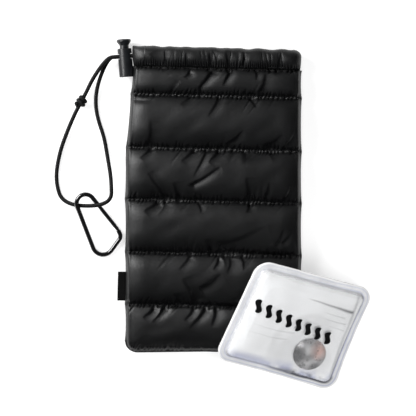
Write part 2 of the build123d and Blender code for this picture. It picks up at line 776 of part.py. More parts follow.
# Values that the joints use
print("lock centre", lock_centre, "lock axis turned", lock_tilt_deg, "slide", lock_slide)
print("thread point", thread_point, "thread direction", thread_direction)
pivot_place = carabiner_plane.location * Pos(*pivot)
print("gate pivot", pivot_place.position, "carabiner normal", carabiner_normal, "opens", gate_open_deg)
print("pack normal", pack_normal, "tilt", round(math.degrees(pack_tilt), 2), "lift", round(pack_lift, 2))
print("disc place", (pack_place * Pos(*disc_place, disc_height)).position)
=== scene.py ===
import json
import math

import bpy
import numpy as np
from bpy.props import FloatProperty, FloatVectorProperty, IntProperty, PointerProperty
from mathutils import Matrix, Vector, noise
from mathutils.bvhtree import BVHTree


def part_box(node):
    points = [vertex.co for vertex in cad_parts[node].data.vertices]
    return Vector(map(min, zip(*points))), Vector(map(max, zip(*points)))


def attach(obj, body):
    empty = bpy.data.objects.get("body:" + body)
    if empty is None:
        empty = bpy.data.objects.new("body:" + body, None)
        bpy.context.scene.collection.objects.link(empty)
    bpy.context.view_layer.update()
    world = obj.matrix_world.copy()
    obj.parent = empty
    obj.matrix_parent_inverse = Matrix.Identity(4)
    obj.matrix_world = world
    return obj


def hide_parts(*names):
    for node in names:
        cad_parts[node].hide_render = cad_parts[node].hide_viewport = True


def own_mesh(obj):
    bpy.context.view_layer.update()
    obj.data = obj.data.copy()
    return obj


bl_info = {
    "name": "Heat Pack and Quilted Pouch",
    "version": (1, 0, 0),
    "blender": (4, 5, 0),
    "location": "View3D > Sidebar > Heat Pack",
    "description": "Dresses a gel heat pack, its quilted drawstring pouch, cord lock and carabiner",
    "category": "Object",
}

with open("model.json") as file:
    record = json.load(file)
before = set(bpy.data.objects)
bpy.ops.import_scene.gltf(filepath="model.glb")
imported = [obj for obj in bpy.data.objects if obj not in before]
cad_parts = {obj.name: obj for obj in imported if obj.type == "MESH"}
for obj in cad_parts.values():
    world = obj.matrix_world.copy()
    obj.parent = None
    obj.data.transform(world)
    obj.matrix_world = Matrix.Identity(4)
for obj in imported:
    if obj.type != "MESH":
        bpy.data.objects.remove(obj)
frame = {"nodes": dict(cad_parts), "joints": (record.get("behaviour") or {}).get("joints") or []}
nodes = frame["nodes"]
joints = {joint["name"]: joint for joint in frame["joints"]}
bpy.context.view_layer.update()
MM = 0.001

# Pouch, as it is cut and sewn
RIGHT_X = 66.0 * MM
LEFT_X_AT_BOTTOM = -66.2 * MM
LEFT_X_AT_MOUTH = -58.8 * MM
MOUTH_Y = 135.0 * MM
BOTTOM_Y = -93.5 * MM
QUILT_ROWS_Y = [-59.0 * MM, -19.7 * MM, 19.7 * MM, 58.7 * MM, 98.8 * MM]
HEM_HEIGHT = 15.4 * MM
HEM_Y = MOUTH_Y - HEM_HEIGHT
HEM_MIDDLE_Y = (MOUTH_Y + HEM_Y) / 2
HEM_CROWN = 5.5 * MM
HEM_CORNER = 5.5 * MM
HEM_COLUMN = 0.32 * MM
HEM_TOOTH_PITCH = 1.8 * MM
SLOPE_DEG = 1.6
SLOPE = math.tan(math.radians(SLOPE_DEG))
CORNER_RADIUS = 9.0 * MM
LEFT_DROP = 2.4 * MM
LEFT_DROP_RATE = 2.2
TAPER_FROM_Y = 50.0 * MM
SEAM_WIDTH = 4.0 * MM
SEAM_RAMP = 0.45 * SEAM_WIDTH
SEAM_CELL = 0.75 * MM
STITCH_WALL = 1.2 * MM
STITCH_MARGIN = 1.5 * MM
CHANNEL_CROWNS = [5.3 * MM, 8.2 * MM, 8.2 * MM, 8.2 * MM, 8.2 * MM, 5.3 * MM]
CROWN_FLATNESS = 2.8
CROWN_ROUNDING = 0.85
SIDE_ROLL = 16.0 * MM
SCALLOP = 0.8 * MM
SCALLOP_BAND = 0.1
POCKET_FLOOR_Z = 5.4 * MM
POCKET_ROOF_Z = 10.2 * MM
FRONT_PLANE_Z = 10.6 * MM
MIDDLE_Z = (POCKET_FLOOR_Z + POCKET_ROOF_Z) / 2
TABLE_GAP = 0.05 * MM

# Main folds of the front: deep end X and Y, far end X and Y, width and depth, in millimetres.
FOLDS_MM = [
    (-37.0, 120.0, -36.0, 132.0, 1.3, 1.68),
    (-21.0, 121.0, -20.0, 130.0, 1.0, 1.2),
    (-3.0, 119.0, -2.0, 131.0, 1.8, 1.92),
    (3.0, 121.0, 0.0, 133.0, 1.1, 1.32),
    (11.0, 119.0, 10.0, 133.0, 1.5, 1.8),
    (22.0, 123.0, 24.0, 132.0, 1.1, 1.56),
    (48.0, 120.0, 51.0, 132.0, 1.3, 1.44),
    (-42.0, 121.0, -46.0, 130.0, 2.6, 1.08),
    (-1.0, 118.0, -12.0, 100.0, 1.8, 2.64),
    (12.0, 118.0, 8.0, 106.0, 1.5, 2.4),
    (-18.0, 116.0, -21.0, 111.0, 1.4, 1.44),
    (32.0, 118.0, 33.0, 111.0, 1.3, 1.2),
    (36.0, 103.0, 41.0, 117.0, 2.4, 1.68),
    (-18.0, 97.0, -24.0, 91.0, 1.4, 1.08),
    (4.0, 97.0, -3.0, 82.0, 1.8, 1.32),
    (27.0, 98.0, 33.0, 91.0, 1.5, 1.56),
    (-48.0, 61.0, -45.0, 79.0, 2.6, 1.56),
    (12.0, 63.0, 23.0, 72.0, 1.8, 1.92),
    (41.0, 62.0, 53.0, 69.0, 3.0, 1.92),
    (-61.0, 95.0, -44.0, 94.0, 1.0, 0.96),
    (-48.0, 57.0, -54.0, 50.0, 1.4, 1.56),
    (-15.0, 58.0, -23.0, 48.0, 1.8, 2.04),
    (-5.0, 58.0, -14.0, 37.0, 1.4, 1.32),
    (4.0, 58.0, -3.0, 48.0, 1.8, 2.04),
    (-36.0, 20.0, -48.0, 40.0, 2.0, 2.4),
    (-27.0, 21.0, -29.0, 33.0, 1.6, 1.92),
    (-15.0, 32.0, 6.0, 45.0, 1.5, 2.28),
    (26.0, 23.0, 26.0, 38.0, 2.2, 2.04),
    (25.0, 57.0, 44.0, 56.0, 2.6, 1.56),
    (-42.0, 18.0, -51.0, 10.0, 1.9, 2.4),
    (-36.0, 17.0, -41.0, 7.0, 2.2, 0.96),
    (-11.0, 18.0, -8.0, 11.0, 1.2, 1.2),
    (27.0, 18.0, 26.0, 12.0, 1.3, 1.44),
    (-3.0, -18.0, -5.0, -9.0, 1.5, 1.92),
    (6.0, -14.0, 41.0, -1.0, 4.5, 2.16),
    (-18.0, -23.0, -25.0, -33.0, 1.5, 1.08),
    (4.0, -24.0, 1.0, -32.0, 1.4, 1.56),
    (-14.0, -56.0, -21.0, -38.0, 3.0, 2.76),
    (-9.0, -46.0, 7.0, -36.0, 3.0, 2.64),
    (-27.0, -57.0, -28.0, -50.0, 2.4, 1.8),
    (13.0, -23.0, 12.0, -35.0, 2.6, 1.56),
    (22.0, -22.0, 24.0, -31.0, 2.2, 1.44),
    (-45.0, -62.0, -52.0, -70.0, 1.7, 2.4),
    (-37.0, -61.0, -45.0, -73.0, 1.8, 2.16),
    (-15.0, -62.0, -21.0, -71.0, 1.4, 1.44),
    (-6.0, -61.0, -17.0, -77.0, 1.8, 2.16),
    (2.0, -61.0, 0.0, -75.0, 2.0, 2.16),
    (56.1, 64.4, 62.0, 72.6, 1.5, 1.5),
    (52.4, -9.6, 59.6, -1.0, 1.5, 1.6),
    (47.6, -11.4, 53.4, 0.0, 1.4, 1.4),
    (54.6, 23.4, 58.6, 33.0, 1.4, 1.5),
    (39.6, 25.4, 42.6, 34.4, 1.2, 1.2),
    (43.4, 58.6, 49.6, 65.8, 1.2, 1.2),
]
FOLD_FADE = 2.5 * MM

# Noises that shape the cloth and the film: seed, and size across and along. The size along is 1
# where the second coordinate only tells the rows or sides apart.
NOISES = {
    "pucker sway": (1.7, 30 * MM, 1.0),
    "pucker drift": (3.3, 9 * MM, 1.0),
    "pucker strength": (8.1, 8 * MM, 1.0),
    "pucker creases": (5.7, 8 * MM, 60 * MM),
    "creased places": (5.1, 13 * MM, 1.0),
    "channel swell": (2.2, 18 * MM, 24 * MM),
    "hem sway": (7.7, 22 * MM, 1.0),
    "hem creases": (4.4, 5.5 * MM, 40 * MM),
    "hem patches": (6.6, 11 * MM, 30 * MM),
    "hem lumps": (2.9, 11 * MM, 14 * MM),
    "tooth drift": (1.1, 12 * MM, 1.0),
    "tooth height": (3.8, 4 * MM, 1.0),
    "mouth waves": (9.9, 9 * MM, 1.0),
    "film ripples": (2.7, 7 * MM, 11 * MM),
    "film folds": (6.1, 16 * MM, 22 * MM),
}

# Cloth simulation of the front, beside what its settings give
CLOTH = {
    "quality": 6,
    "mass": 0.05,
    "tension_stiffness": 15,
    "compression_stiffness": 5,
    "shear_stiffness": 2,
    "bending_damping": 0.1,
    "air_damping": 3,
    "vertex_group_mass": "stitched",
    "use_pressure": True,
}
# Share of its frames in which the panel is drawn in, and the share of its folds that is used
SEWN_AT_SHARE = 0.64
SIMULATED_SHARE = 0.45

# Side label, past its CAD piece
LABEL_REACH = 1.0 * MM
LABEL_DROP = 2.0 * MM
LABEL_THICKNESS = 1.5 * MM

# Drawcord, and its route from the hem through the lock, round the carabiner and back in millimetres
CORD_DIAMETER = 3.0 * MM
CORD_ROUTE_MM = [
    (-58.8, 128.94, 9.45),
    (-61.0, 129.0, 9.45),
    (-72.5, 128.12, 9.45),
    (-79.5, 127.58, 9.45),
    (-90.5, 112.5, 6.6),
    (-96.0, 100.8, 5.0),
    (-103.3, 87.6, 5.0),
    (-109.8, 73.0, 2.6),
    (-116.2, 55.5, 1.7),
    (-119.2, 35.0, 1.7),
    (-113.0, 16.27, 2.1),
    (-76.5, 16.13, 14.5),
    (-76.6, 35.5, 8.0),
    (-79.8, 53.5, 3.0),
    (-82.3, 68.0, 1.8),
    (-87.6, 83.0, 1.7),
    (-89.0, 97.5, 2.6),
    (-85.9, 112.0, 4.4),
    (-78.6, 127.65, 6.15),
    (-72.5, 128.12, 6.15),
    (-61.0, 129.0, 6.15),
    (-58.8, 128.94, 6.15),
]

# View of the photograph, straight down
VIEW_CENTRE = (-4.1 * MM, 14.6 * MM)
VIEW_WIDTH = 312.0 * MM
VIEW_PLANE_Z = 12.0 * MM
CAMERA_HEIGHT = 2.4

# Square soft lamps: name, place, size, power, and whether gloss shows them
LAMPS = [
    ("key_lamp", (-0.40, 0.28, 0.30), 0.30, 4.6, True),
    ("fill_lamp", (0.25, -0.45, 1.1), 0.9, 13.5, False),
]
SKY_STRENGTH = 0.05
FLOOR_Z = -0.3 * MM
FLOOR_SIZE = 6
SENSOR_WIDTH_MM = 36


def colour_setting(name, description, default):
    """Colour that a user may change."""
    return FloatVectorProperty(
        name=name, description=description, default=default, subtype="COLOR", size=3, min=0, max=1
    )


def length_setting(name, description, default, low, high):
    """Length that a user may change, from its values in millimetres."""
    return FloatProperty(
        name=name,
        description=description,
        default=default * MM,
        min=low * MM,
        max=high * MM,
        unit="LENGTH",
    )


def number_setting(name, description, default, low, high):
    """Plain number that a user may change."""
    return FloatProperty(name=name, description=description, default=default, min=low, max=high)


class PouchSettings(bpy.types.PropertyGroup):
    """Sizes and colours of the quilted pouch."""

    fabric_colour: colour_setting(
        "Fabric colour", "Colour of the woven nylon", (0.0018, 0.0019, 0.0021)
    )
    cell: length_setting("Cloth cell", "Size of a cell of the simulated cloth", 2.3, 0.8, 5)
    gather: number_setting(
        "Gather", "Spare fabric along the stitched rows, as a share of their length", 0.016, 0, 0.3
    )
    drag: number_setting(
        "Drag", "Skew of the fabric between rows, which lays its folds aslant", 0.035, -0.5, 0.5
    )
    stiffness: number_setting(
        "Fold stiffness", "How stiffly the fabric bends, which sets how broad its folds are", 2.0, 0, 10
    )
    pressure: number_setting(
        "Wadding pressure", "Push of the wadding, in newtons a square metre", 60, 0, 500
    )
    frames: IntProperty(
        name="Simulated frames",
        description="Frames that the cloth is simulated for",
        default=22,
        min=2,
        max=60,
    )
    pucker: length_setting(
        "Pucker height", "Depth of the small puckers beside a row of stitches", 0.8, 0, 2
    )
    pucker_pitch: length_setting("Pucker pitch", "Distance from one pucker to the next", 3.3, 1, 10)
    stitch_length: length_setting("Stitch length", "Length of one stitch", 1.15, 0.5, 6)
    stitch_gap: length_setting("Stitch gap", "Gap from one stitch to the next", 0.6, 0.1, 4)
    thread: length_setting("Thread thickness", "Diameter of the sewing thread", 0.42, 0.1, 1)


class CordSettings(bpy.types.PropertyGroup):
    """Sizes and colours of the drawcord, its lock and its carabiner."""

    cord_colour: colour_setting("Cord colour", "Colour of the braided cord", (0.0008, 0.0008, 0.0009))
    braid_pitch: length_setting("Braid pitch", "Length of one diamond of the braid", 1.6, 0.3, 6)
    lock_colour: colour_setting("Lock colour", "Colour of the moulded lock", (0.0040, 0.0045, 0.0055))
    paint_colour: colour_setting(
        "Carabiner colour", "Colour of the carabiner's coating", (0.002, 0.002, 0.0022)
    )


class GelPackSettings(bpy.types.PropertyGroup):
    """Colours of the gel pack."""

    gel_colour: colour_setting("Gel colour", "Colour of the clouded gel", (0.90, 0.907, 0.915))
    # Edge tint: lilac grey laid along the gel's lower edge, and the colour of the painted shade in the
    # film's weld grooves.
    tint_colour: colour_setting(
        "Edge tint", "Colour that gathers in the gel's lower edge", (0.40, 0.43, 0.62)
    )
    disc_colour: colour_setting("Disc colour", "Colour of the snap disc's metal", (0.66, 0.65, 0.66))
    print_colour: colour_setting("Print colour", "Colour of the printed strokes", (0.002, 0.002, 0.0022))


def deselect():
    """Leave nothing selected."""
    bpy.ops.object.select_all(action="DESELECT")


def activate(piece):
    """Select one piece alone and make it the active one."""
    deselect()
    piece.select_set(True)
    bpy.context.view_layer.objects.active = piece


def finish_primitive(name):
    """Name the primitive that was just added, with its place in its mesh."""
    piece = bpy.context.object
    piece.name = name
    piece.data.name = name
    bpy.ops.object.transform_apply(location=True, rotation=True, scale=True)
    return piece


def piece_of_points(name, points, faces):
    """New mesh piece from points and faces."""
    mesh = bpy.data.meshes.new(name)
    mesh.from_pydata([tuple(point) for point in points], [], faces)
    mesh.update()
    piece = bpy.data.objects.new(name, mesh)
    bpy.context.scene.collection.objects.link(piece)
    activate(piece)
    return piece


def apply_modifiers(piece):
    """Apply every modifier of a piece, in order."""
    activate(piece)
    for modifier in list(piece.modifiers):
        bpy.ops.object.modifier_apply(modifier=modifier.name)


def bevel(piece, width, segments, angle_deg):
    """Round the edges of a piece that are sharper than an angle."""
    rounder = piece.modifiers.new("Bevel", "BEVEL")
    rounder.width = width
    rounder.segments = segments
    rounder.limit_method = "ANGLE"
    rounder.angle_limit = math.radians(angle_deg)
    apply_modifiers(piece)


def smooth(piece):
    """Shade a piece smooth all over."""
    for face in piece.data.polygons:
        face.use_smooth = True


def outward(piece):
    """Merge doubles and turn every face outwards."""
    activate(piece)
    bpy.ops.object.mode_set(mode="EDIT")
    bpy.ops.mesh.select_all(action="SELECT")
    bpy.ops.mesh.remove_doubles(threshold=1e-6)
    bpy.ops.mesh.normals_make_consistent(inside=False)
    bpy.ops.object.mode_set(mode="OBJECT")


def vertex_places(mesh):
    """Vertex places of a mesh as an array."""
    places = np.zeros(len(mesh.vertices) * 3)
    mesh.vertices.foreach_get("co", places)
    return places.reshape(-1, 3)


def worked_places(piece):
    """Vertex places of a piece as its modifiers leave it, after which the piece is removed."""
    graph = bpy.context.evaluated_depsgraph_get()
    mesh = bpy.data.meshes.new_from_object(piece.evaluated_get(graph))
    places = vertex_places(mesh)
    bpy.data.meshes.remove(mesh)
    bpy.data.objects.remove(piece)
    return places


def set_positions(piece, places):
    """Move the vertices of a piece to new places."""
    piece.data.vertices.foreach_set("co", np.asarray(places, dtype=np.float32).ravel())
    piece.data.update()


def dress(piece, material):
    """Give a piece one material."""
    piece.data.materials.clear()
    piece.data.materials.append(material)


def settle(piece, body, slot, *replaced):
    """Let a piece ride on a body and stand for CAD nodes; its slot is not used."""
    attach(piece, body)
    if replaced:
        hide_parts(*replaced)
    return piece


class Nodes:
    """A node tree, with short calls to add and join its nodes."""

    def __init__(self, tree):
        self.tree = tree

    def set(self, node, key, value):
        """Set one input to a number or colour, or join it to another node's output."""
        socket = node.inputs[int(key[1:])] if key[0] == "_" else node.inputs[key.replace("_", " ")]
        if isinstance(value, bpy.types.NodeSocket):
            self.tree.links.new(value, socket)
        else:
            socket.default_value = value

    def add(self, kind, **inputs):
        """Add a node and set its inputs, by name or by number."""
        node = self.tree.nodes.new(kind)
        for key, value in inputs.items():
            self.set(node, key, value)
        return node

    def math(self, operation, first, second=0.0):
        """Result of one calculation."""
        node = self.add("ShaderNodeMath", _0=first, _1=second)
        node.operation = operation
        return node.outputs[0]

    def product(self, first, *others):
        """Values multiplied together, in order."""
        for other in others:
            first = self.math("MULTIPLY", first, other)
        return first

    def off(self, value, middle):
        """How far a value is from a middle one, either way."""
        return self.math("ABSOLUTE", self.math("SUBTRACT", value, middle))

    def noise(self, vector, scale, detail=3.0, rough=0.5):
        """Noise value."""
        node = self.add("ShaderNodeTexNoise", Vector=vector, Scale=scale, Detail=detail, Roughness=rough)
        return node.outputs["Fac"]

    def ramp(self, value, low, high, start=0.0, end=1.0):
        """Value mapped from one range to another, held inside it."""
        return self.add("ShaderNodeMapRange", _0=value, _1=low, _2=high, _3=start, _4=end).outputs[0]


class MaterialNodes(Nodes):
    """A new material's nodes, round one Principled shader."""

    def __init__(self, name, transparent=False):
        self.material = bpy.data.materials.new(name)
        self.material.use_nodes = True
        super().__init__(self.material.node_tree)
        self.tree.nodes.clear()
        self.out = self.add("ShaderNodeOutputMaterial")
        self.shader = self.add("ShaderNodeBsdfPrincipled")
        self.set(self.out, "Surface", self.shader.outputs["BSDF"])
        if transparent:
            self.material.surface_render_method = "BLENDED"

    def finish(self, **inputs):
        """Set the shader's inputs, and give the material."""
        for key, value in inputs.items():
            self.set(self.shader, key, value)
        return self.material

    def place(self, source="Object"):
        """Coordinates that patterns are laid on."""
        return self.add("ShaderNodeTexCoord").outputs[source]

    def flat_place(self):
        """The two coordinates of the piece's UV map."""
        return self.add("ShaderNodeSeparateXYZ", Vector=self.place("UV")).outputs[:2]

    def attribute(self, name):
        """Value of one of the piece's own attributes."""
        node = self.add("ShaderNodeAttribute")
        node.attribute_name = name
        return node.outputs["Fac"]

    def distance(self, place, point):
        """Distance of each place from a point."""
        node = self.add("ShaderNodeVectorMath", _0=place, _1=tuple(point))
        node.operation = "DISTANCE"
        return node.outputs["Value"]

    def mix(self, share, first, second):
        """Two colours mixed."""
        node = self.add("ShaderNodeMix")
        node.data_type = "RGBA"
        for key, value in (("_0", share), ("_6", first), ("_7", second)):
            self.set(node, key, value)
        return node.outputs[2]

    def bump(self, height, distance, strength):
        """Bumped normal from a height."""
        node = self.add("ShaderNodeBump", Height=height, Distance=distance, Strength=strength)
        return node.outputs["Normal"]

    def shared(self, name, maker, **inputs):
        """One of the shared effects, built the first time that it is asked for."""
        node = self.add("ShaderNodeGroup")
        node.node_tree = bpy.data.node_groups.get(name) or maker()
        for key, value in inputs.items():
            self.set(node, key, value)
        return node.outputs[0]

    def weave(self, place, pitch):
        """Height of the plain weave."""
        return self.shared("Plain weave", weave_group, Vector=place, Pitch=pitch)

    def mottle(self, place, blotch, grain=900.0):
        """Value of the mottle, round 0.5."""
        return self.shared("Mottle", mottle_group, Vector=place, Blotch_scale=blotch, Grain_scale=grain)

    def uneven(self, mottle, least, most):
        """Mottle spread between two values, for roughness."""
        return self.ramp(mottle, 0.3, 0.7, least, most)


def toned(rgb, factor=1.0):
    """Colour made lighter or darker by a factor, with a full alpha."""
    return (*(min(1.0, channel * factor) for channel in rgb), 1.0)


def effect(name, inputs, output):
    """New node group on coordinates, with named inputs and one output: its nodes and both ends."""
    tree = bpy.data.node_groups.new(name, "ShaderNodeTree")
    tree.interface.new_socket("Vector", in_out="INPUT", socket_type="NodeSocketVector")
    for socket, default in inputs.items():
        made = tree.interface.new_socket(socket, in_out="INPUT", socket_type="NodeSocketFloat")
        made.default_value = default
    tree.interface.new_socket(output, in_out="OUTPUT", socket_type="NodeSocketFloat")
    return Nodes(tree), tree.nodes.new("NodeGroupInput").outputs, tree.nodes.new("NodeGroupOutput")


def weave_group():
    """Plain weave: warp and weft threads as a height, from coordinates and a thread pitch."""
    made, given, end = effect("Plain weave", {"Pitch": 0.4 * MM}, "Height")
    split = made.add("ShaderNodeSeparateXYZ", Vector=given["Vector"])
    turn = made.math("DIVIDE", math.tau, given["Pitch"])
    warp, weft = (made.math("SINE", made.product(split.outputs[axis], turn)) for axis in (0, 1))
    made.set(end, "Height", made.ramp(made.product(warp, weft), -1.0, 1.0))
    return made.tree


def mottle_group():
    """Soft blotches and fine grain as one value round 0.5, from coordinates and two scales."""
    scales = {"Blotch scale": 60.0, "Grain scale": 900.0, "Grain share": 0.3}
    made, given, end = effect("Mottle", scales, "Value")
    blotches = made.noise(given["Vector"], given["Blotch scale"], 4.0)
    grain = made.noise(given["Vector"], given["Grain scale"], 4.0)
    both = made.add("ShaderNodeMix", _0=given["Grain share"], _2=blotches, _3=grain)
    made.set(end, "Value", both.outputs[0])
    return made.tree


def nylon(name, rgb):
    """Woven nylon shell fabric: a fine weave, soft creases and a satin face."""
    made = MaterialNodes(name)
    place = made.place()
    weave = made.weave(made.place("UV"), 0.42 * MM)
    value = made.mottle(place, 45.0, 1400.0)
    crease = made.noise(place, 160.0, 4.0, 0.6)
    height = made.math("ADD", made.product(weave, 0.10), made.product(crease, 0.9))
    return made.finish(
        Base_Color=made.mix(made.ramp(value, 0.35, 0.68), toned(rgb), toned(rgb, 1.7)),
        Roughness=made.uneven(value, 0.45, 0.59),
        Specular_IOR_Level=0.50,
        Normal=made.bump(height, 0.30 * MM, 0.6),
    )


def braided(name, rgb, pitch):
    """Braided cord: crossing strands along the piece's UV, with a fuzzy matt face."""
    made = MaterialNodes(name)
    u, v = made.flat_place()
    waves = []
    for way in (1.0, -1.0):
        around = made.product(u, way * 8.0 * math.pi)
        along = made.product(v, math.tau / pitch)
        waves.append(made.math("SINE", made.math("ADD", around, along)))
    braid = made.math("MAXIMUM", *waves)
    grain = made.noise(made.place(), 2600.0, 2.0)
    height = made.math("ADD", braid, made.product(grain, 0.6))
    return made.finish(
        Base_Color=made.mix(made.ramp(braid, 0.0, 1.0, 0.0, 0.6), toned(rgb), toned(rgb, 2.6)),
        Roughness=made.ramp(braid, -0.5, 1.0, 0.8, 0.65),
        Specular_IOR_Level=0.25,
        Normal=made.bump(height, 0.12 * MM, 0.5),
    )


def moulded(name, rgb):
    """Moulded plastic: a fine spark texture and slightly uneven gloss."""
    made = MaterialNodes(name)
    value = made.mottle(made.place(), 160.0, 4200.0)
    return made.finish(
        Base_Color=made.mix(made.ramp(value, 0.35, 0.7), toned(rgb), toned(rgb, 1.8)),
        Roughness=made.uneven(value, 0.29, 0.42),
        Specular_IOR_Level=0.5,
        Normal=made.bump(value, 0.03 * MM, 0.35),
    )


def coated_metal(name, rgb):
    """Glossy coated metal: dark, hard and smooth, with faint scuffs."""
    made = MaterialNodes(name)
    value = made.mottle(made.place(), 220.0, 2600.0)
    return made.finish(
        Base_Color=made.mix(made.ramp(value, 0.4, 0.75), toned(rgb), toned(rgb, 2.0)),
        Roughness=made.uneven(value, 0.14, 0.26),
        Specular_IOR_Level=0.65,
        Coat_Weight=0.6,
        Coat_Roughness=0.08,
        Normal=made.bump(value, 0.01 * MM, 0.2),
    )


def bare_steel(name):
    """Plain steel wire and pins."""
    made = MaterialNodes(name)
    value = made.mottle(made.place(), 400.0)
    return made.finish(
        Base_Color=made.mix(value, (0.42, 0.42, 0.43, 1), (0.66, 0.66, 0.67, 1)),
        Metallic=1.0,
        Roughness=made.uneven(value, 0.22, 0.38),
        Normal=made.bump(value, 0.01 * MM, 0.3),
    )


def woven_tape(name):
    """Narrow woven tape of the side label, with a rib across it."""
    made = MaterialNodes(name)
    place = made.place()
    weave = made.weave(place, 0.7 * MM)
    return made.finish(
        Base_Color=made.mix(weave, (0.001, 0.001, 0.001, 1), (0.003, 0.003, 0.003, 1)),
        Roughness=made.uneven(made.mottle(place, 150.0), 0.75, 0.9),
        Specular_IOR_Level=0.1,
        Normal=made.bump(weave, 0.12 * MM, 0.6),
    )


def thread(name):
    """Twisted sewing thread."""
    made = MaterialNodes(name)
    grain = made.noise(made.place(), 3000.0, 2.0)
    tone = made.mix(grain, (0.004, 0.004, 0.0045, 1), (0.016, 0.016, 0.017, 1))
    return made.finish(Base_Color=tone, Roughness=0.5, Normal=made.bump(grain, 0.06 * MM, 0.6))


def ready(name, maker, *values):
    """Material of that name, made the first time that it is asked for."""
    return bpy.data.materials.get(name) or maker(name, *values)


def cells(grid):
    """Four corners of each cell of a grid, in order round it."""
    return np.stack([grid[:-1, :-1], grid[:-1, 1:], grid[1:, 1:], grid[1:, :-1]], 2)


def grid_faces(places, around=False, over=False, caps=()):
    """Faces of a grid of places, joined round its columns or rows, and the caps that close it."""
    rows, cols = places.shape[:2]
    index = np.arange(rows * cols).reshape(rows, cols)
    if around:
        index = np.hstack([index, index[:, :1]])
    if over:
        index = np.vstack([index, index[:1]])
    return cells(index).reshape(-1, 4).tolist() + [list(cap) for cap in caps]


def ray_tree(places, around=False, caps=()):
    """Search tree of a grid of places, for rays to meet."""
    points = [Vector(point) for point in places.reshape(-1, 3)]
    return BVHTree.FromPolygons(points, grid_faces(places, around, caps=caps))


def lattice(name, places, uv, around=False, over=False, caps=(), extra=()):
    """Mesh piece on a grid of places. Its UV comes from a matching grid, and on caps from X and Y."""
    points = np.concatenate([places.reshape(-1, 3), np.asarray(extra).reshape(-1, 3)])
    piece = piece_of_points(name, points, grid_faces(places, around, over, caps))
    flat = cells(uv).reshape(-1, 2)
    rest = [points[vertex][:2] for cap in caps for vertex in cap]
    if rest:
        flat = np.concatenate([flat, np.asarray(rest)])
    layer = piece.data.uv_layers.new(name="UVMap")
    layer.data.foreach_set("uv", flat.astype(np.float32).ravel())
    smooth(piece)
    return piece


def wave_noise(x, y, name):
    """One of the smooth noises, from −1 to 1, over two arrays."""
    seed, x_size, y_size = NOISES[name]
    pairs = zip((x / x_size).ravel(), (y / y_size).ravel())
    flat = np.fromiter((noise.noise(Vector((a, b, seed))) for a, b in pairs), float, x.size)
    return flat.reshape(x.shape)


def bell(value):
    """One at zero, falling smoothly to nothing either way."""
    return np.exp(-(value ** 2))


def left_edge(y):
    """Left edge of the pouch at a height, before its slope: upright, then drawn in towards the mouth."""
    share = np.maximum(y - TAPER_FROM_Y, 0) / (MOUTH_Y - TAPER_FROM_Y)
    return LEFT_X_AT_BOTTOM + share * (LEFT_X_AT_MOUTH - LEFT_X_AT_BOTTOM)


def left_drop(across):
    """How far the bottom edge is let down to the left, for shares of the pouch's width."""
    return LEFT_DROP * np.maximum(1 - LEFT_DROP_RATE * across, 0)


def low_edge(across):
    """Bottom edge of the pouch, let down and rounded at its corners, for shares of its width."""
    width = RIGHT_X - LEFT_X_AT_BOTTOM
    inward = np.minimum(np.minimum(across, 1 - across) * width, CORNER_RADIUS)
    level = BOTTOM_Y - left_drop(across)
    return level + CORNER_RADIUS - np.sqrt(CORNER_RADIUS ** 2 - (CORNER_RADIUS - inward) ** 2)


def panel_layout(cell):
    """Cut panel as grids of X and Y before the slope, and which of its rows are stitched."""
    columns = round((RIGHT_X - LEFT_X_AT_BOTTOM) / cell)
    across = np.linspace(0, 1, columns + 1)
    edges = [low_edge(across)] + [np.full(columns + 1, y) for y in QUILT_ROWS_Y + [HEM_Y]]
    lines = []
    stitched = []
    bulges = []
    for low, high in zip(edges, edges[1:]):
        count = max(6, round(float(np.max(high - low)) / cell))
        for step in range(count):
            lines.append(low + (high - low) * step / count)
            stitched.append(step == 0)
            bulges.append(math.sin(math.pi * step / count) ** 0.6 if step else 0.0)
    lines.append(edges[-1])
    stitched.append(True)
    bulges.append(0.0)
    y = np.array(lines)
    x = left_edge(y) + across * (RIGHT_X - left_edge(y))
    near_side = np.maximum(np.abs(2 * across - 1) - (1 - SCALLOP_BAND), 0) / SCALLOP_BAND
    x += SCALLOP * np.sign(2 * across - 1) * near_side ** 2 * (0.6 - np.array(bulges)[:, None])
    return x, y, np.array(stitched)


def inset_of(x, y):
    """Distance in from the pouch's sides and bottom, with round corners."""
    side = np.minimum(x - left_edge(y), RIGHT_X - x)
    share = (x - LEFT_X_AT_BOTTOM) / (RIGHT_X - LEFT_X_AT_BOTTOM)
    low = y - BOTTOM_Y + left_drop(share)
    from_side = np.maximum(CORNER_RADIUS - side, 0)
    from_low = np.maximum(CORNER_RADIUS - low, 0)
    corner = CORNER_RADIUS - np.hypot(from_side, from_low)
    in_corner = (side < CORNER_RADIUS) & (low < CORNER_RADIUS)
    return np.maximum(np.where(in_corner, corner, np.minimum(side, low)), 0)


def pinned_height(x, y):
    """Height that the stitches hold the fabric at: level, and let down to the seam at the edges."""
    rise = FRONT_PLANE_Z + STITCH_WALL - MIDDLE_Z
    return MIDDLE_Z + rise * np.minimum(inset_of(x, y) / SEAM_RAMP, 1)


def crowned(x, y, stitched):
    """Fabric as it is cut to puff: a crown over each channel, rolled down to the seams."""
    places = np.stack([x, y, pinned_height(x, y)], -1)
    roll = 1 - np.minimum(inset_of(x, y) / SIDE_ROLL, 1)
    side = np.sqrt(np.maximum(1 - roll ** 2, 0))
    edges = np.flatnonzero(stitched)
    for low, high, crown in zip(edges, edges[1:], CHANNEL_CROWNS):
        across = np.abs(np.linspace(-1, 1, high - low + 1))[:, None]
        rise = crown * (1 - across ** CROWN_FLATNESS) ** CROWN_ROUNDING
        places[low : high + 1, :, 2] += rise * side[low : high + 1]
    return places


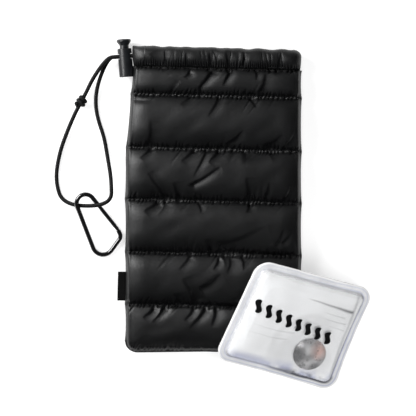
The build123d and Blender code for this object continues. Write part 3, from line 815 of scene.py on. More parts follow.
def puff_up(settings, x, y, stitched):
    """Simulate the sewn and stuffed fabric, and return its places as a grid."""
    start = crowned(x, y, stitched)
    rows, cols = x.shape
    held = np.zeros((rows, cols), bool)
    held[stitched] = True
    held[:, 0] = held[:, -1] = True
    start[..., 2] += np.where(held, 0, np.random.default_rng(4).normal(0, 0.05 * MM, (rows, cols)))
    cut = start.copy()
    cut[..., 0] = cut[..., 0] * (1 + settings.gather) - settings.drag * cut[..., 1]
    cloth = lattice("cloth_at_work", cut, np.stack([x, y], -1))
    cloth.shape_key_add(name="Cut")
    sewn = cloth.shape_key_add(name="Sewn")
    sewn.data.foreach_set("co", start.ravel())
    for value, at_frame in ((0.0, 1), (1.0, round(settings.frames * SEWN_AT_SHARE))):
        sewn.value = value
        sewn.keyframe_insert("value", frame=at_frame)
    group = cloth.vertex_groups.new(name="stitched")
    group.add([int(vertex) for vertex in np.flatnonzero(held.ravel())], 1.0, "REPLACE")
    fabric = cloth.modifiers.new("Cloth", "CLOTH")
    values = fabric.settings
    for name, value in CLOTH.items():
        setattr(values, name, value)
    values.bending_stiffness = settings.stiffness
    values.uniform_pressure_force = settings.pressure
    values.effector_weights.gravity = 0
    fabric.collision_settings.use_collision = False
    fabric.point_cache.frame_start = 1
    fabric.point_cache.frame_end = settings.frames
    for at_frame in range(1, settings.frames + 1):
        bpy.context.scene.frame_set(at_frame)
    places = worked_places(cloth).reshape(rows, cols, 3)
    bpy.context.scene.frame_set(1)
    if not np.isfinite(places).all():
        raise RuntimeError("The cloth simulation did not settle")
    return places


def eased(grid, times):
    """Grid of values averaged with their neighbours, its border kept."""
    for _ in range(times):
        for axis in (0, 1):
            grid = np.moveaxis(grid, axis, 0).copy()
            grid[1:-1] = grid[:-2] / 4 + grid[1:-1] / 2 + grid[2:] / 4
            grid = np.moveaxis(grid, 0, axis)
    return grid


def finer(grid):
    """Grid with a smooth point put halfway between every two, each way."""
    for axis in (0, 1):
        grid = np.moveaxis(grid, axis, 0)
        ends = np.concatenate([2 * grid[:1] - grid[1:2], grid, 2 * grid[-1:] - grid[-2:-1]])
        halfway = (9 * (ends[1:-2] + ends[2:-1]) - ends[:-3] - ends[3:]) / 16
        more = np.empty((2 * len(grid) - 1,) + grid.shape[1:])
        more[::2] = grid
        more[1::2] = halfway
        grid = np.moveaxis(more, 0, axis)
    return grid


def grid_normals(grid):
    """Unit normals of a grid of places."""
    normal = np.cross(np.gradient(grid, axis=1), np.gradient(grid, axis=0))
    return normal / np.maximum(np.linalg.norm(normal, axis=-1, keepdims=True), 1e-12)


def row_distance(y):
    """Distance above the nearest row of stitches, below zero under it, and that row's number."""
    rows = np.array([BOTTOM_Y] + QUILT_ROWS_Y + [HEM_Y])
    offset = y[..., None] - rows
    nearest = np.abs(offset).argmin(-1)
    return np.take_along_axis(offset, nearest[..., None], -1)[..., 0], nearest


def creases(across, along, name, width):
    """Narrow valleys, 0 to 1, along the lines where a noise passes nothing."""
    return bell(wave_noise(across, along, name) / width)


def folded(x, y):
    """Depth of the main folds: steep on the side of the upper left, gentle on the other."""
    sunk = np.zeros(x.shape)
    for fold in FOLDS_MM:
        deep_x, deep_y, far_x, far_y, width, depth = (value * MM for value in fold)
        length = math.hypot(far_x - deep_x, far_y - deep_y)
        way_x, way_y = (far_x - deep_x) / length, (far_y - deep_y) / length
        along = (x - deep_x) * way_x + (y - deep_y) * way_y
        across = (y - deep_y) * way_x - (x - deep_x) * way_y
        across *= 1 if way_x + way_y > 0 else -1
        across += 0.25 * width * np.sin(along * math.tau / (1.3 * length))
        shape = bell(across / np.where(across > 0, 0.55 * width, 2.4 * width))
        onward = np.clip(1 - along / length, 0, 1) ** 0.7
        fade = np.where(along < 0, bell(along / FOLD_FADE), onward)
        sunk = np.maximum(sunk, depth * shape * fade)
    return sunk


def puckers(settings, x, y):
    """Rise of the surface where stitches dent it and folds run on from them."""
    offset, row = row_distance(y)
    away = np.abs(offset)
    above = offset > 0
    sway = wave_noise(x, row * 7.0 + above, "pucker sway")
    lean = np.where(above, 0.15 + 0.8 * sway, 0.75 + 0.5 * sway)
    slanted = x - lean * offset
    drift = wave_noise(slanted, row * 9.0 + above * 4.0, "pucker drift")
    phase = slanted / settings.pucker_pitch + 1.6 * drift
    strength = wave_noise(slanted, row * 5.0 + above * 3.0, "pucker strength")
    strength = np.clip(0.45 + 1.5 * strength, 0.1, 1.2)
    reach = np.where(above, 2.5 * MM + 4.0 * MM * strength, 1.5 * MM + 2.2 * MM * strength)
    dents = np.clip(0.5 + 0.5 * np.cos(math.tau * phase) - away / reach, 0, 1)
    chosen = wave_noise(slanted, row * 3.0 + above * 6.0, "creased places")
    chosen = np.clip(0.1 + 2.2 * chosen, 0, 1)
    long = 3 * MM + 5 * MM * chosen
    small = creases(slanted, offset + row, "pucker creases", 0.12) * chosen * bell(away / long)
    groove = bell(away / (0.8 * MM)) * (row > 0)
    swell = wave_noise(x - 0.5 * y, y + 0.3 * x, "channel swell")
    middle = 1 - bell(away / (9 * MM))
    edge = np.minimum(inset_of(x, y) / (3 * MM), 1)
    sunk = settings.pucker * (1.9 * dents + small + 0.6 * groove)
    sunk = sunk + folded(x, y) * np.minimum(0.3 + away / (2 * MM), 1)
    return edge * (0.6 * settings.pucker * swell * middle - sunk)


def sloped(places):
    """Turn the pouch's rows by their slope."""
    turned = places.copy()
    turned[..., 1] -= SLOPE * places[..., 0]
    return turned


def panel_surface(settings):
    """Sewn and stuffed front as a fine grid: places before the slope, and cut coordinates."""
    x, y, stitched = panel_layout(settings.cell)
    places = crowned(x, y, stitched)
    places += SIMULATED_SHARE * eased(puff_up(settings, x, y, stitched) - places, 3)
    cut = finer(finer(np.stack([x, y], -1)))
    fine = finer(finer(places))
    fine += grid_normals(fine) * puckers(settings, cut[..., 0], cut[..., 1])[..., None]
    return fine, cut


def ring_of(grid):
    """Border of a grid of values, in order round it."""
    return np.concatenate([grid[0, :-1], grid[:-1, -1], grid[-1, :0:-1], grid[:0:-1, 0]])


def seam_line(border):
    """Border of the cut panel, drawn in by the seam's width below the hem."""
    flat = border.copy()
    flat[:, 0] = np.clip(flat[:, 0], left_edge(flat[:, 1]) + SEAM_WIDTH, RIGHT_X - SEAM_WIDTH)
    share = (flat[:, 0] - left_edge(flat[:, 1])) / (RIGHT_X - left_edge(flat[:, 1]))
    flat[:, 1] = np.clip(flat[:, 1], low_edge(share) + SEAM_WIDTH, HEM_Y)
    return flat


def closed_panel(name, places, cut, inner_z, flip):
    """Close a puffed panel with a flat lining that starts a seam's width in from its edges."""
    rows, cols = cut.shape[:2]
    border = ring_of(np.arange(rows * cols).reshape(rows, cols))
    flat = seam_line(ring_of(cut))
    lining = sloped(np.column_stack([flat, np.full(len(flat), inner_z)]))
    inner = np.arange(len(border)) + rows * cols
    walls = np.stack([np.roll(border, -1), border, inner, np.roll(inner, -1)], -1)
    caps = walls.tolist() + [inner[::-1].tolist()]
    piece = lattice(name, sloped(places), cut, caps=caps, extra=lining)
    if flip:
        piece.data.flip_normals()
    return piece


def lie_under(places, node, gap):
    """Press a surface down to stay a gap below what lies on it."""
    mesh = nodes[node].data
    tree = BVHTree.FromPolygons([v.co for v in mesh.vertices], [list(f.vertices) for f in mesh.polygons])
    low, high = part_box(node)
    turned = sloped(places).reshape(-1, 3)
    heights = places.reshape(-1, 3)
    across = (turned[:, 0] > low.x) & (turned[:, 0] < high.x)
    inside = np.flatnonzero(across & (turned[:, 1] > low.y) & (turned[:, 1] < high.y))
    for vertex in inside:
        start = Vector((turned[vertex][0], turned[vertex][1], low.z - 0.01))
        hit = tree.ray_cast(start, Vector((0, 0, 1)))[0]
        if hit is not None and hit.z - gap < heights[vertex, 2]:
            heights[vertex, 2] = hit.z - gap


def stitch_shape(length, thickness):
    """One stitch: a flattened capsule along X, as points and faces."""
    bpy.ops.mesh.primitive_cylinder_add(
        vertices=6, radius=thickness / 2, depth=length, rotation=(0, math.pi / 2, 0)
    )
    stitch = finish_primitive("stitch_model")
    bevel(stitch, thickness * 0.3, 1, 80)
    points = vertex_places(stitch.data)
    faces = [list(face.vertices) for face in stitch.data.polygons]
    bpy.data.objects.remove(stitch)
    return points, faces


def sew_rows(name, settings, surface, lines, under):
    """Copies of one stitch along lines of a surface, pulled half into the fabric."""
    shape, shape_faces = stitch_shape(settings.stitch_length, settings.thread)
    tree = ray_tree(surface)
    outwards = Vector((0, 0, -1 if under else 1))
    inwards = Vector((0, 0, 1 if under else -1))
    start_z = -0.05 if under else 0.06
    step = settings.stitch_length + settings.stitch_gap
    points = []
    faces = []
    chance = np.random.default_rng(7)
    for y, first_x, last_x in lines:
        for place in range(int((last_x - first_x) / step)):
            x = first_x + (place + 0.5) * step + chance.normal(0, 0.05 * MM)
            ends = []
            for at_x in (x - settings.stitch_length / 2, x + settings.stitch_length / 2):
                ends.append(tree.ray_cast(Vector((at_x, y - SLOPE * at_x, start_z)), inwards)[0])
            if any(end is None for end in ends):
                continue
            along = (ends[1] - ends[0]).normalized()
            sideways = outwards.cross(along).normalized()
            up = along.cross(sideways)
            turn = Matrix((along, sideways, up)).transposed()
            centre = (ends[0] + ends[1]) / 2 + up * settings.thread * 0.18
            base = len(points)
            points += [turn @ Vector(point) + centre for point in shape]
            faces += [[base + vertex for vertex in face] for face in shape_faces]
    if not faces:
        raise RuntimeError("No stitch met the fabric")
    stitches = piece_of_points(name, points, faces)
    dress(stitches, ready("Sewing thread", thread))
    smooth(stitches)
    settle(stitches, "pouch", "shell_fabric")


def mouth_path(reach):
    """Columns round the mouth: where it starts, its length, and each column's distance, turn and X."""
    left = LEFT_X_AT_MOUTH - 1.0 * MM + reach
    right = RIGHT_X - reach
    straight = right - left
    turn = math.pi * reach
    length = 2 * (straight + turn)
    s = np.linspace(0, length, round(length / HEM_COLUMN), endpoint=False)
    parts = [s < straight, s < straight + turn, s < 2 * straight + turn]
    angle = np.select(
        parts,
        [math.pi / 2, math.pi / 2 - (s - straight) / reach, -math.pi / 2],
        -math.pi / 2 - (s - 2 * straight - turn) / reach,
    )
    centre_x = np.select(parts, [left + s, right, right - (s - straight - turn)], left)
    return left, length, s, angle, centre_x


def hem_ring():
    """Hem casing as a closed ring: its profile swept round the mouth, gathered and puckered."""
    depth = (MOUTH_Y - HEM_Y) * math.cos(math.radians(SLOPE_DEG))
    half = depth / 2
    near = FRONT_PLANE_Z - MIDDLE_Z
    reach = near + HEM_CROWN
    left, length, s, angle, centre_x = mouth_path(reach)

    # Profile: out from the stitches, over the crown and in at the mouth, then the inner wall
    outer_rows = 34
    share = np.linspace(0, 1, outer_rows)
    t = -half + depth * share
    rounding = np.where(share < 0.5, np.sin(math.pi * share), np.maximum(1 - (2 * share - 1) ** 3, 0))
    bulge = rounding ** 0.7
    outer = near + STITCH_WALL * 0.8 * (1 - share) + (HEM_CROWN - 0.3 * MM) * bulge
    inner_t = np.linspace(half, -half, 8)[1:-1]

    # Gathers: soft lumps, slanting creases, teeth beside the stitches and the main folds
    tt, ss = np.meshgrid(t, s, indexing="ij")
    level = tt * 0
    up = tt + half
    swing = ss - 0.3 * wave_noise(ss, level, "hem sway") * up
    body = np.clip(bulge, 0.1, 1)[:, None]
    small = creases(swing, tt, "hem creases", 0.10)
    patch = np.clip(0.3 + 1.8 * wave_noise(swing, tt, "hem patches"), 0, 1)
    lumps = wave_noise(swing, tt, "hem lumps")
    drift = wave_noise(ss, level, "tooth drift")
    height = 4.6 * MM + 2.5 * MM * wave_noise(ss, level, "tooth height")
    teeth = (0.5 + 0.5 * np.cos(math.tau * (swing / HEM_TOOTH_PITCH + 1.2 * drift))) ** 1.5
    low = np.clip(1.2 - up / height, 0, 1)
    main = folded(left + ss, HEM_MIDDLE_Y + tt)
    rise = body * (0.85 * MM * lumps - 0.32 * MM * small * patch - 1.1 * main) - 1.35 * MM * teeth * low
    radius = np.maximum(outer[:, None] + rise, near - 0.1 * MM)
    wavy = 1.1 * MM * wave_noise(ss, level, "mouth waves") * share[:, None] ** 2

    # Ends: the right one rounded at its top, the left one let out
    corner = np.clip((up - (depth - HEM_CORNER)) / HEM_CORNER, 0, 1) * (np.cos(angle) > 0)
    across = np.broadcast_to(reach + 0.2 * MM * lumps - 0.6 * MM * (1 - body), radius.shape)
    across = across - HEM_CORNER * (1 - np.sqrt(1 - corner ** 2))
    across = across + (0.5 * MM + 1.2 * MM * share[:, None]) * (np.cos(angle) < 0)
    casing = (centre_x + across * np.cos(angle), tt + wavy, MIDDLE_Z + radius * np.sin(angle))

    inside = near - 0.25 * MM
    inner_x = centre_x + (inside + 2.5 * MM) * np.cos(angle)
    inner_z = MIDDLE_Z + inside * np.sin(angle)
    wall = np.broadcast_arrays(inner_x, inner_t[:, None], inner_z)
    ring = np.concatenate([np.stack(casing, -1), np.stack(wall, -1)])
    x, y = ring[..., 0].copy(), ring[..., 1].copy()
    lean = math.radians(-SLOPE_DEG)
    ring[..., 0] = x * math.cos(lean) - y * math.sin(lean)
    ring[..., 1] = x * math.sin(lean) + y * math.cos(lean) + HEM_MIDDLE_Y
    ring[..., 2] = np.maximum(ring[..., 2], TABLE_GAP + 0.02 * MM * (ring[..., 2] < 0))

    arc = np.concatenate([share * 1.3 * depth, 1.3 * depth + np.linspace(0, depth, len(inner_t))])
    uv = np.stack(np.meshgrid(np.append(s, length), np.append(arc, arc[-1] + 2 * MM), indexing="xy"), -1)
    return lattice("hem_casing", ring, uv, around=True, over=True), ring[:outer_rows]


class MakePouch(bpy.types.Operator):
    """Sew and stuff the quilted front and back of the pouch"""

    bl_idname = "heat_pack.make_pouch"
    bl_label = "Quilted pouch"

    def execute(self, context):
        settings = context.scene.pouch_settings
        fabric = ready("Pouch nylon", nylon, settings.fabric_colour)
        places, cut = panel_surface(settings)
        front = places.copy()
        inward = np.minimum(inset_of(cut[..., 0], cut[..., 1]) / SEAM_WIDTH, 1)
        floor = MIDDLE_Z + (POCKET_ROOF_Z - MIDDLE_Z) * inward
        front[1:-1, 1:-1, 2] = np.maximum(front[1:-1, 1:-1, 2], floor[1:-1, 1:-1] + 0.25 * MM)
        lie_under(front, "pack_lower_film", 0.3 * MM)
        front_piece = closed_panel("quilted_front", front, cut, POCKET_ROOF_Z, False)
        dress(front_piece, fabric)
        settle(front_piece, "pouch", "shell_fabric", "front_shell", "front_wadding", "front_lining")
        cut, places = cut[::2, ::2], places[::2, ::2]
        back = places.copy()
        depth = MIDDLE_Z - TABLE_GAP
        drop = np.maximum(places[..., 2] - MIDDLE_Z, 0)
        back[..., 2] = MIDDLE_Z - depth * np.tanh(drop / depth * 1.15)
        back_piece = closed_panel("quilted_back", back, cut, POCKET_FLOOR_Z, True)
        dress(back_piece, fabric)
        settle(back_piece, "pouch", "shell_fabric", "back_shell", "back_wadding", "back_lining")
        lines = [(y, left_edge(y) + STITCH_MARGIN, RIGHT_X - STITCH_MARGIN) for y in QUILT_ROWS_Y]
        sew_rows("front_quilt_stitches", settings, sloped(front), lines, False)
        sew_rows("back_quilt_stitches", settings, sloped(back), lines, True)
        return {"FINISHED"}


class MakeSeams(bpy.types.Operator):
    """Fill the side and bottom seams between the pouch's two panels"""

    bl_idname = "heat_pack.make_seams"
    bl_label = "Pouch seams"

    def execute(self, context):
        settings = context.scene.pouch_settings
        x, y, _ = panel_layout(SEAM_CELL)
        rows, columns = x.shape[0] - 1, x.shape[1] - 1
        ring = ring_of(np.stack([x, y], -1))
        outline = np.roll(ring, -(2 * columns + rows), axis=0)[: 2 * rows + columns + 1]
        flat = seam_line(outline)
        outer = outline - (outline - flat) * 0.12
        s = lengths_along(outline)
        ripple = 0.12 * MM * np.sin(math.tau * s / settings.pucker_pitch)
        levels = [
            (flat, POCKET_ROOF_Z - 0.02 * MM),
            (outer, POCKET_ROOF_Z - 0.8 * MM),
            (outline, MIDDLE_Z + 0.7 * MM),
            (outline, MIDDLE_Z - 0.7 * MM),
            (outer, POCKET_FLOOR_Z + 0.8 * MM),
            (flat, POCKET_FLOOR_Z + 0.02 * MM),
        ]
        lines = [np.column_stack([line, level + ripple * (line is outline)]) for line, level in levels]
        places = sloped(np.array(lines))
        uv = np.stack(np.broadcast_arrays(s[None, :], np.linspace(0, 12 * MM, 7)[:, None]), -1)
        first = np.arange(len(levels)) * places.shape[1]
        caps = [first, first[::-1] + places.shape[1] - 1]
        seam = lattice("pouch_seams", places, uv, over=True, caps=caps)
        outward(seam)
        dress(seam, ready("Pouch nylon", nylon, settings.fabric_colour))
        settle(seam, "pouch", "shell_fabric", "side_seam_left", "side_seam_right", "bottom_seam")
        return {"FINISHED"}


class MakeHem(bpy.types.Operator):
    """Gather the hem casing round the pouch's mouth and stitch it down"""

    bl_idname = "heat_pack.make_hem"
    bl_label = "Hem casing"

    def execute(self, context):
        settings = context.scene.pouch_settings
        hem, surface = hem_ring()
        dress(hem, ready("Pouch nylon", nylon, settings.fabric_colour))
        settle(hem, "pouch", "shell_fabric", "hem_front", "hem_back", "hem_fold_left", "hem_fold_right")
        lines = [(HEM_Y + 1.6 * MM, LEFT_X_AT_MOUTH + 5 * MM, RIGHT_X - 5 * MM)]
        sew_rows("front_hem_stitches", settings, surface, lines, False)
        sew_rows("back_hem_stitches", settings, surface, lines, True)
        return {"FINISHED"}


class MakeLabel(bpy.types.Operator):
    """Fold the bare woven tape that is sewn into the left seam"""

    bl_idname = "heat_pack.make_label"
    bl_label = "Side label"

    def execute(self, context):
        low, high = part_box("side_label")
        root = high.x
        tip = low.x - LABEL_REACH
        middle_y = (low.y + high.y) / 2 - LABEL_DROP
        bpy.ops.mesh.primitive_cube_add(size=1, location=((root + tip) / 2, middle_y, MIDDLE_Z))
        label = bpy.context.object
        label.dimensions = (root - tip - 0.9 * MM, high.y - low.y - 0.4 * MM, LABEL_THICKNESS)
        label = finish_primitive("side_label_tape")
        bpy.ops.object.mode_set(mode="EDIT")
        bpy.ops.mesh.select_all(action="SELECT")
        bpy.ops.mesh.subdivide(number_cuts=7)
        bpy.ops.object.mode_set(mode="OBJECT")
        bevel(label, 0.55 * MM, 3, 60)
        places = vertex_places(label.data)
        share = (root - places[:, 0]) / (root - tip)
        wave = np.sin((places[:, 1] - middle_y) / (6 * MM))
        places[:, 2] += share * (0.35 * MM * wave - 0.6 * MM * share)
        places[:, 0] += (places[:, 1] - middle_y) * SLOPE
        set_positions(label, places)
        smooth(label)
        dress(label, ready("Woven tape", woven_tape))
        settle(label, "pouch", "label_tape", "side_label")
        return {"FINISHED"}


def cord_points(route, resolution):
    """Points of the smooth open NURBS line that a route's points pull."""
    curve = bpy.data.curves.new("cord_line", "CURVE")
    curve.dimensions = "3D"
    curve.resolution_u = resolution
    spline = curve.splines.new("NURBS")
    spline.points.add(len(route) - 1)
    for point, place in zip(spline.points, route):
        point.co = (*place, 1.0)
    spline.order_u = 3
    spline.use_endpoint_u = True
    line = bpy.data.objects.new("cord_line", curve)
    bpy.context.scene.collection.objects.link(line)
    bpy.context.view_layer.update()
    return worked_places(line)


def lengths_along(points):
    """Distance along a line at each of its points."""
    steps = np.linalg.norm(np.diff(points, axis=0), axis=1)
    return np.concatenate([[0], np.cumsum(steps)])


def tube_round(name, points, radius, sides):
    """Tube that follows points, with UV round it from 0 to 1 and along it in metres."""
    along = np.gradient(points, axis=0)
    along /= np.linalg.norm(along, axis=1, keepdims=True)
    side = np.cross(along[0], (0.3, 0.2, 1.0))
    side /= np.linalg.norm(side)
    angle = np.linspace(0, math.tau, sides, endpoint=False)
    rings = []
    for place, way in zip(points, along):
        side = side - way * side.dot(way)
        side /= np.linalg.norm(side)
        other = np.cross(way, side)
        rings.append(place + radius * (np.outer(np.cos(angle), side) + np.outer(np.sin(angle), other)))
    uv = np.stack(np.meshgrid(np.linspace(0, 1, sides + 1), lengths_along(points)), -1)
    last = (len(points) - 1) * sides
    caps = [range(sides)[::-1], range(last, last + sides)]
    piece = lattice(name, np.array(rings), uv, around=True, caps=caps)
    outward(piece)
    return piece


class MakeCord(bpy.types.Operator):
    """Lay the braided drawcord through the lock and the carabiner, with its knot"""

    bl_idname = "heat_pack.make_cord"
    bl_label = "Drawcord and knot"

    def execute(self, context):
        settings = context.scene.cord_settings
        finish = ready("Braided cord", braided, settings.cord_colour, settings.braid_pitch)
        route = [Vector(point) * MM for point in CORD_ROUTE_MM]
        line = cord_points(route, 14)
        cord = tube_round("drawcord", line, CORD_DIAMETER / 2, 16)
        dress(cord, finish)
        settle(cord, "pouch", "cord", "drawcord_loop")
        knot = self.tie_knot(line)
        dress(knot, finish)
        settle(knot, "pouch", "cord", "cord_knot")
        return {"FINISHED"}

    def tie_knot(self, line):
        """Overhand knot drawn tight: two turns round the strand and a tail tucked through them."""
        low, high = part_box("cord_knot")
        middle = np.array((low + high) / 2)
        at = int(np.linalg.norm(line - middle, axis=1).argmin())
        along = Vector(line[at + 2] - line[at - 2]).normalized()
        side = along.cross(Vector((0, 0, 1))).normalized()
        up = side.cross(along)
        centre = Vector(line[at])
        turns = 2.0
        reach = 2.75 * MM
        pitch = 2.9 * MM
        steps = 17
        route = []
        for step in range(steps):
            share = step / (steps - 1)
            angle = math.tau * turns * share + 0.6
            forward = (share - 0.5) * turns * pitch
            wide = reach * (1 + 0.08 * math.sin(3 * angle))
            place = centre + along * forward + side * wide * math.cos(angle)
            route.append(place + up * wide * math.sin(angle))
        tail = [
            centre + along * (1.35 * pitch) + side * (0.6 * MM) - up * (0.4 * MM),
            centre + along * (1.75 * pitch),
        ]
        head = [
            centre - along * (1.75 * pitch),
            centre - along * (1.35 * pitch) - side * (0.5 * MM) + up * (0.3 * MM),
        ]
        knot = tube_round("overhand_knot", cord_points(head + route + tail, 8), CORD_DIAMETER / 2, 14)
        places = vertex_places(knot.data)
        places[:, 2] = np.maximum(places[:, 2], TABLE_GAP)
        set_positions(knot, places)
        return knot


class FinishLock(bpy.types.Operator):
    """Give the cord lock's barrel, button and spring their finishes"""

    bl_idname = "heat_pack.finish_lock"
    bl_label = "Cord lock"

    def execute(self, context):
        settings = context.scene.cord_settings
        plastic = ready("Moulded lock plastic", moulded, settings.lock_colour)
        dress(nodes["lock_barrel"], plastic)
        dress(nodes["lock_plunger"], plastic)
        dress(nodes["lock_spring"], ready("Spring steel", bare_steel))
        self.press_spring(nodes["lock_spring"])
        hidden = ready("Hidden cord", braided, settings.cord_colour, settings.braid_pitch)
        dress(nodes["drawcord_hem"], hidden)
        return {"FINISHED"}

    def press_spring(self, spring):
        """Find the spring's far end along the button's press, and give the spring its own mesh."""
        press = joints["button_press"]
        places = vertex_places(spring.data)
        reach = places @ np.array(press["axis"])
        tuple(places[int(reach.argmax())])
        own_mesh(spring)


class FinishCarabiner(bpy.types.Operator):
    """Give the carabiner its glossy coating, and its gate's spring its steel"""

    bl_idname = "heat_pack.finish_carabiner"
    bl_label = "Carabiner"

    def execute(self, context):
        settings = context.scene.cord_settings
        coating = ready("Black coating", coated_metal, settings.paint_colour)
        for name in ("carabiner_frame", "carabiner_gate", "gate_rivet"):
            dress(nodes[name], coating)
        for name in ("gate_spring", "gate_pusher"):
            dress(nodes[name], ready("Spring steel", bare_steel))
        return {"FINISHED"}


# Gel pack's own frame, and its welded outline
PACK_WIDTH = 93.7 * MM
PACK_HEIGHT = 83.5 * MM
PACK_LOW_EDGE = -PACK_HEIGHT / 2
PACK_SLEW = 0.082
PACK_CORNER = 11.0 * MM
PACK_WELD = 5.0 * MM
PACK_ORIGIN = Vector((60.2, -71.9, 23.23)) * MM
PACK_NORMAL = Vector((0.190379, -0.350635, 0.916957))
PACK_FALL_DEG = -61.5
PACK_EDGE_TURN_DEG = 43.9
DISC_AT = (18.3 * MM, -18.6 * MM)
DISC_RADIUS = 12.5 * MM
DISC_HEIGHT = 5.0 * MM
DISC_DOME = 36.0
UPPER_CROWN = 10.0 * MM
LOWER_CROWN = 2.5 * MM
FILM = 0.5 * MM
FILM_LEAST = 0.02 * MM
WELD_BEAD = 0.75 * MM
GEL_GAP = 0.12 * MM
LOW_CORNER_REACH = Vector((4.1, -4.1, 0)) * MM

# Heights of the filled film as shares of its crown, at distances in from the weld in millimetres
UPPER_PROFILE = ([0, 0.6, 3.5, 9, 17, 27], [0, 0.35, 0.65, 0.86, 0.96, 1])
LOWER_PROFILE = ([0, 1.5, 5, 13], [0, 0.5, 0.85, 1])

# Printed row of strokes: middle of the first and of the last, and the size of each
STROKES = 8
FIRST_STROKE = Vector((-34.0, 9.2, 0)) * MM
LAST_STROKE = Vector((26.0, -1.7, 0)) * MM
STROKE_LENGTH = 10.6 * MM
STROKE_SWAY = 1.1 * MM
STROKE_HALF_WIDTH = 2.1 * MM
INK_LAYER = 0.12 * MM


def pack_matrix():
    """Matrix that takes the pack's own coordinates to the scene's."""
    fall = math.radians(PACK_FALL_DEG)
    level = Vector((-math.sin(fall), math.cos(fall), 0))
    down = level.cross(PACK_NORMAL) * -1
    down = (PACK_NORMAL.cross(level)) * -1 if down.z > 0 else down
    turn = math.radians(PACK_EDGE_TURN_DEG)
    pack_x = down * math.cos(turn) + level * math.sin(turn)
    pack_y = PACK_NORMAL.cross(pack_x)
    return Matrix.Translation(PACK_ORIGIN) @ Matrix((pack_x, pack_y, PACK_NORMAL)).transposed().to_4x4()


def pack_outline(count, inset):
    """Outline of the pack's film, round its corners, at a distance inwards, as X and Y."""
    half = np.array([PACK_WIDTH / 2 - inset, PACK_HEIGHT / 2 - inset])
    radius = max(PACK_CORNER - inset, 2 * MM)
    quarter = math.pi * radius / 2
    sides = [2 * (half[1] - radius), 2 * (half[0] - radius)] * 2
    total = sum(sides) + 4 * quarter
    s = np.arange(count) / count * total
    x = np.zeros(count)
    y = np.zeros(count)
    start = 0.0
    for corner, (corner_x, corner_y) in enumerate(((1, 1), (-1, 1), (-1, -1), (1, -1))):
        heading = math.pi / 2 * corner
        on_side = (s >= start) & (s < start + sides[corner])
        run = s[on_side] - start - sides[corner] / 2
        x[on_side] = math.cos(heading) * half[corner % 2] - math.sin(heading) * run
        y[on_side] = math.sin(heading) * half[corner % 2] + math.cos(heading) * run
        start += sides[corner]
        on_turn = (s >= start) & (s < start + quarter)
        angle = heading + (s[on_turn] - start) / radius
        x[on_turn] = corner_x * (half[0] - radius) + radius * np.cos(angle)
        y[on_turn] = corner_y * (half[1] - radius) + radius * np.sin(angle)
        start += quarter
    return np.column_stack([x + PACK_SLEW * y, y])


def pack_rings(count, insets, centre_rings):
    """Rings of places from the outline inwards, true to their inset and then drawn to the centre."""
    rings = [pack_outline(count, inset) for inset in insets]
    shares = [1 - step / (centre_rings + 1) for step in range(1, centre_rings + 1)]
    return np.array(rings + [rings[-1] * share for share in shares])


def inset_in_pack(places):
    """Distance in from the pack's outline at places on its plane."""
    x = np.abs(places[..., 0] - PACK_SLEW * places[..., 1])
    y = np.abs(places[..., 1])
    from_corner_x = x - (PACK_WIDTH / 2 - PACK_CORNER)
    from_corner_y = y - (PACK_HEIGHT / 2 - PACK_CORNER)
    round_part = PACK_CORNER - np.hypot(np.maximum(from_corner_x, 0), np.maximum(from_corner_y, 0))
    straight = np.minimum(PACK_WIDTH / 2 - x, PACK_HEIGHT / 2 - y)
    return np.where((from_corner_x > 0) & (from_corner_y > 0), round_part, straight)


def rounded_inset(places):
    """Distance in from the weld, eased where two sides compete, so no crease runs to a corner."""
    from_middle = np.abs(places[..., 0] - PACK_SLEW * places[..., 1])
    x = np.maximum(PACK_WIDTH / 2 - from_middle - PACK_WELD, 0.01 * MM)
    y = np.maximum(PACK_HEIGHT / 2 - np.abs(places[..., 1]) - PACK_WELD, 0.01 * MM)
    eased_inset = (x ** -2.2 + y ** -2.2) ** (-1 / 2.2) * 1.12
    true = np.maximum(inset_in_pack(places) - PACK_WELD, 0)
    near = np.clip(true / (9 * MM), 0, 1)
    return true * (1 - near) + eased_inset * near


def pillow(places, profile, crown):
    """Height of the filled film over the weld plane."""
    return crown * np.interp(rounded_inset(places) / MM, *profile)


def soften(grid, rounds):
    """Smooth a grid of heights that closes on itself, along its rings and across them."""
    for _ in range(rounds):
        grid = (np.roll(grid, 1, 1) + np.roll(grid, -1, 1) + 2 * grid) / 4
        inner = (grid[:-2] + grid[2:] + 2 * grid[1:-1]) / 4
        grid = np.concatenate([grid[:1], inner, grid[-1:]])
    return grid


def over_disc(places, heights, top):
    """Draw heights down to a level over the snap disc."""
    away = np.hypot(places[..., 0] - DISC_AT[0], places[..., 1] - DISC_AT[1])
    reach = np.clip((away - 12 * MM) / (24 * MM), 0, 1)
    blend = reach * reach * (3 - 2 * reach)
    dome = top - 1.4 * MM * np.minimum(away / DISC_RADIUS, 1) ** 2
    return np.minimum(heights, dome * (1 - blend) + heights * blend)


def film_wrinkles(places):
    """Small folds of the film, strongest beside the weld and fading towards the middle."""
    inward = np.maximum(inset_in_pack(places) - PACK_WELD, 0)
    x, y = places[..., 0], places[..., 1]
    across = wave_noise(x + 0.3 * y, y, "film ripples")
    fold = np.abs(wave_noise(x - 0.2 * y, y, "film folds")) * 2
    near = np.exp(-inward / (6 * MM))
    return 0.28 * MM * across * near + 0.22 * MM * fold * (1 - near) - 0.12 * MM


def raised(places, heights):
    """Places and heights on the pack as points of the scene, its lowest corner drawn out."""
    matrix = np.array(pack_matrix())
    local = np.concatenate([places, heights[..., None]], -1)
    right = 0.5 + places[..., 0] / PACK_WIDTH
    low = 0.5 - places[..., 1] / PACK_HEIGHT
    share = np.clip(right * low, 0, 1)[..., None] ** 3
    return local @ matrix[:3, :3].T + matrix[:3, 3] + share * np.array(LOW_CORNER_REACH)


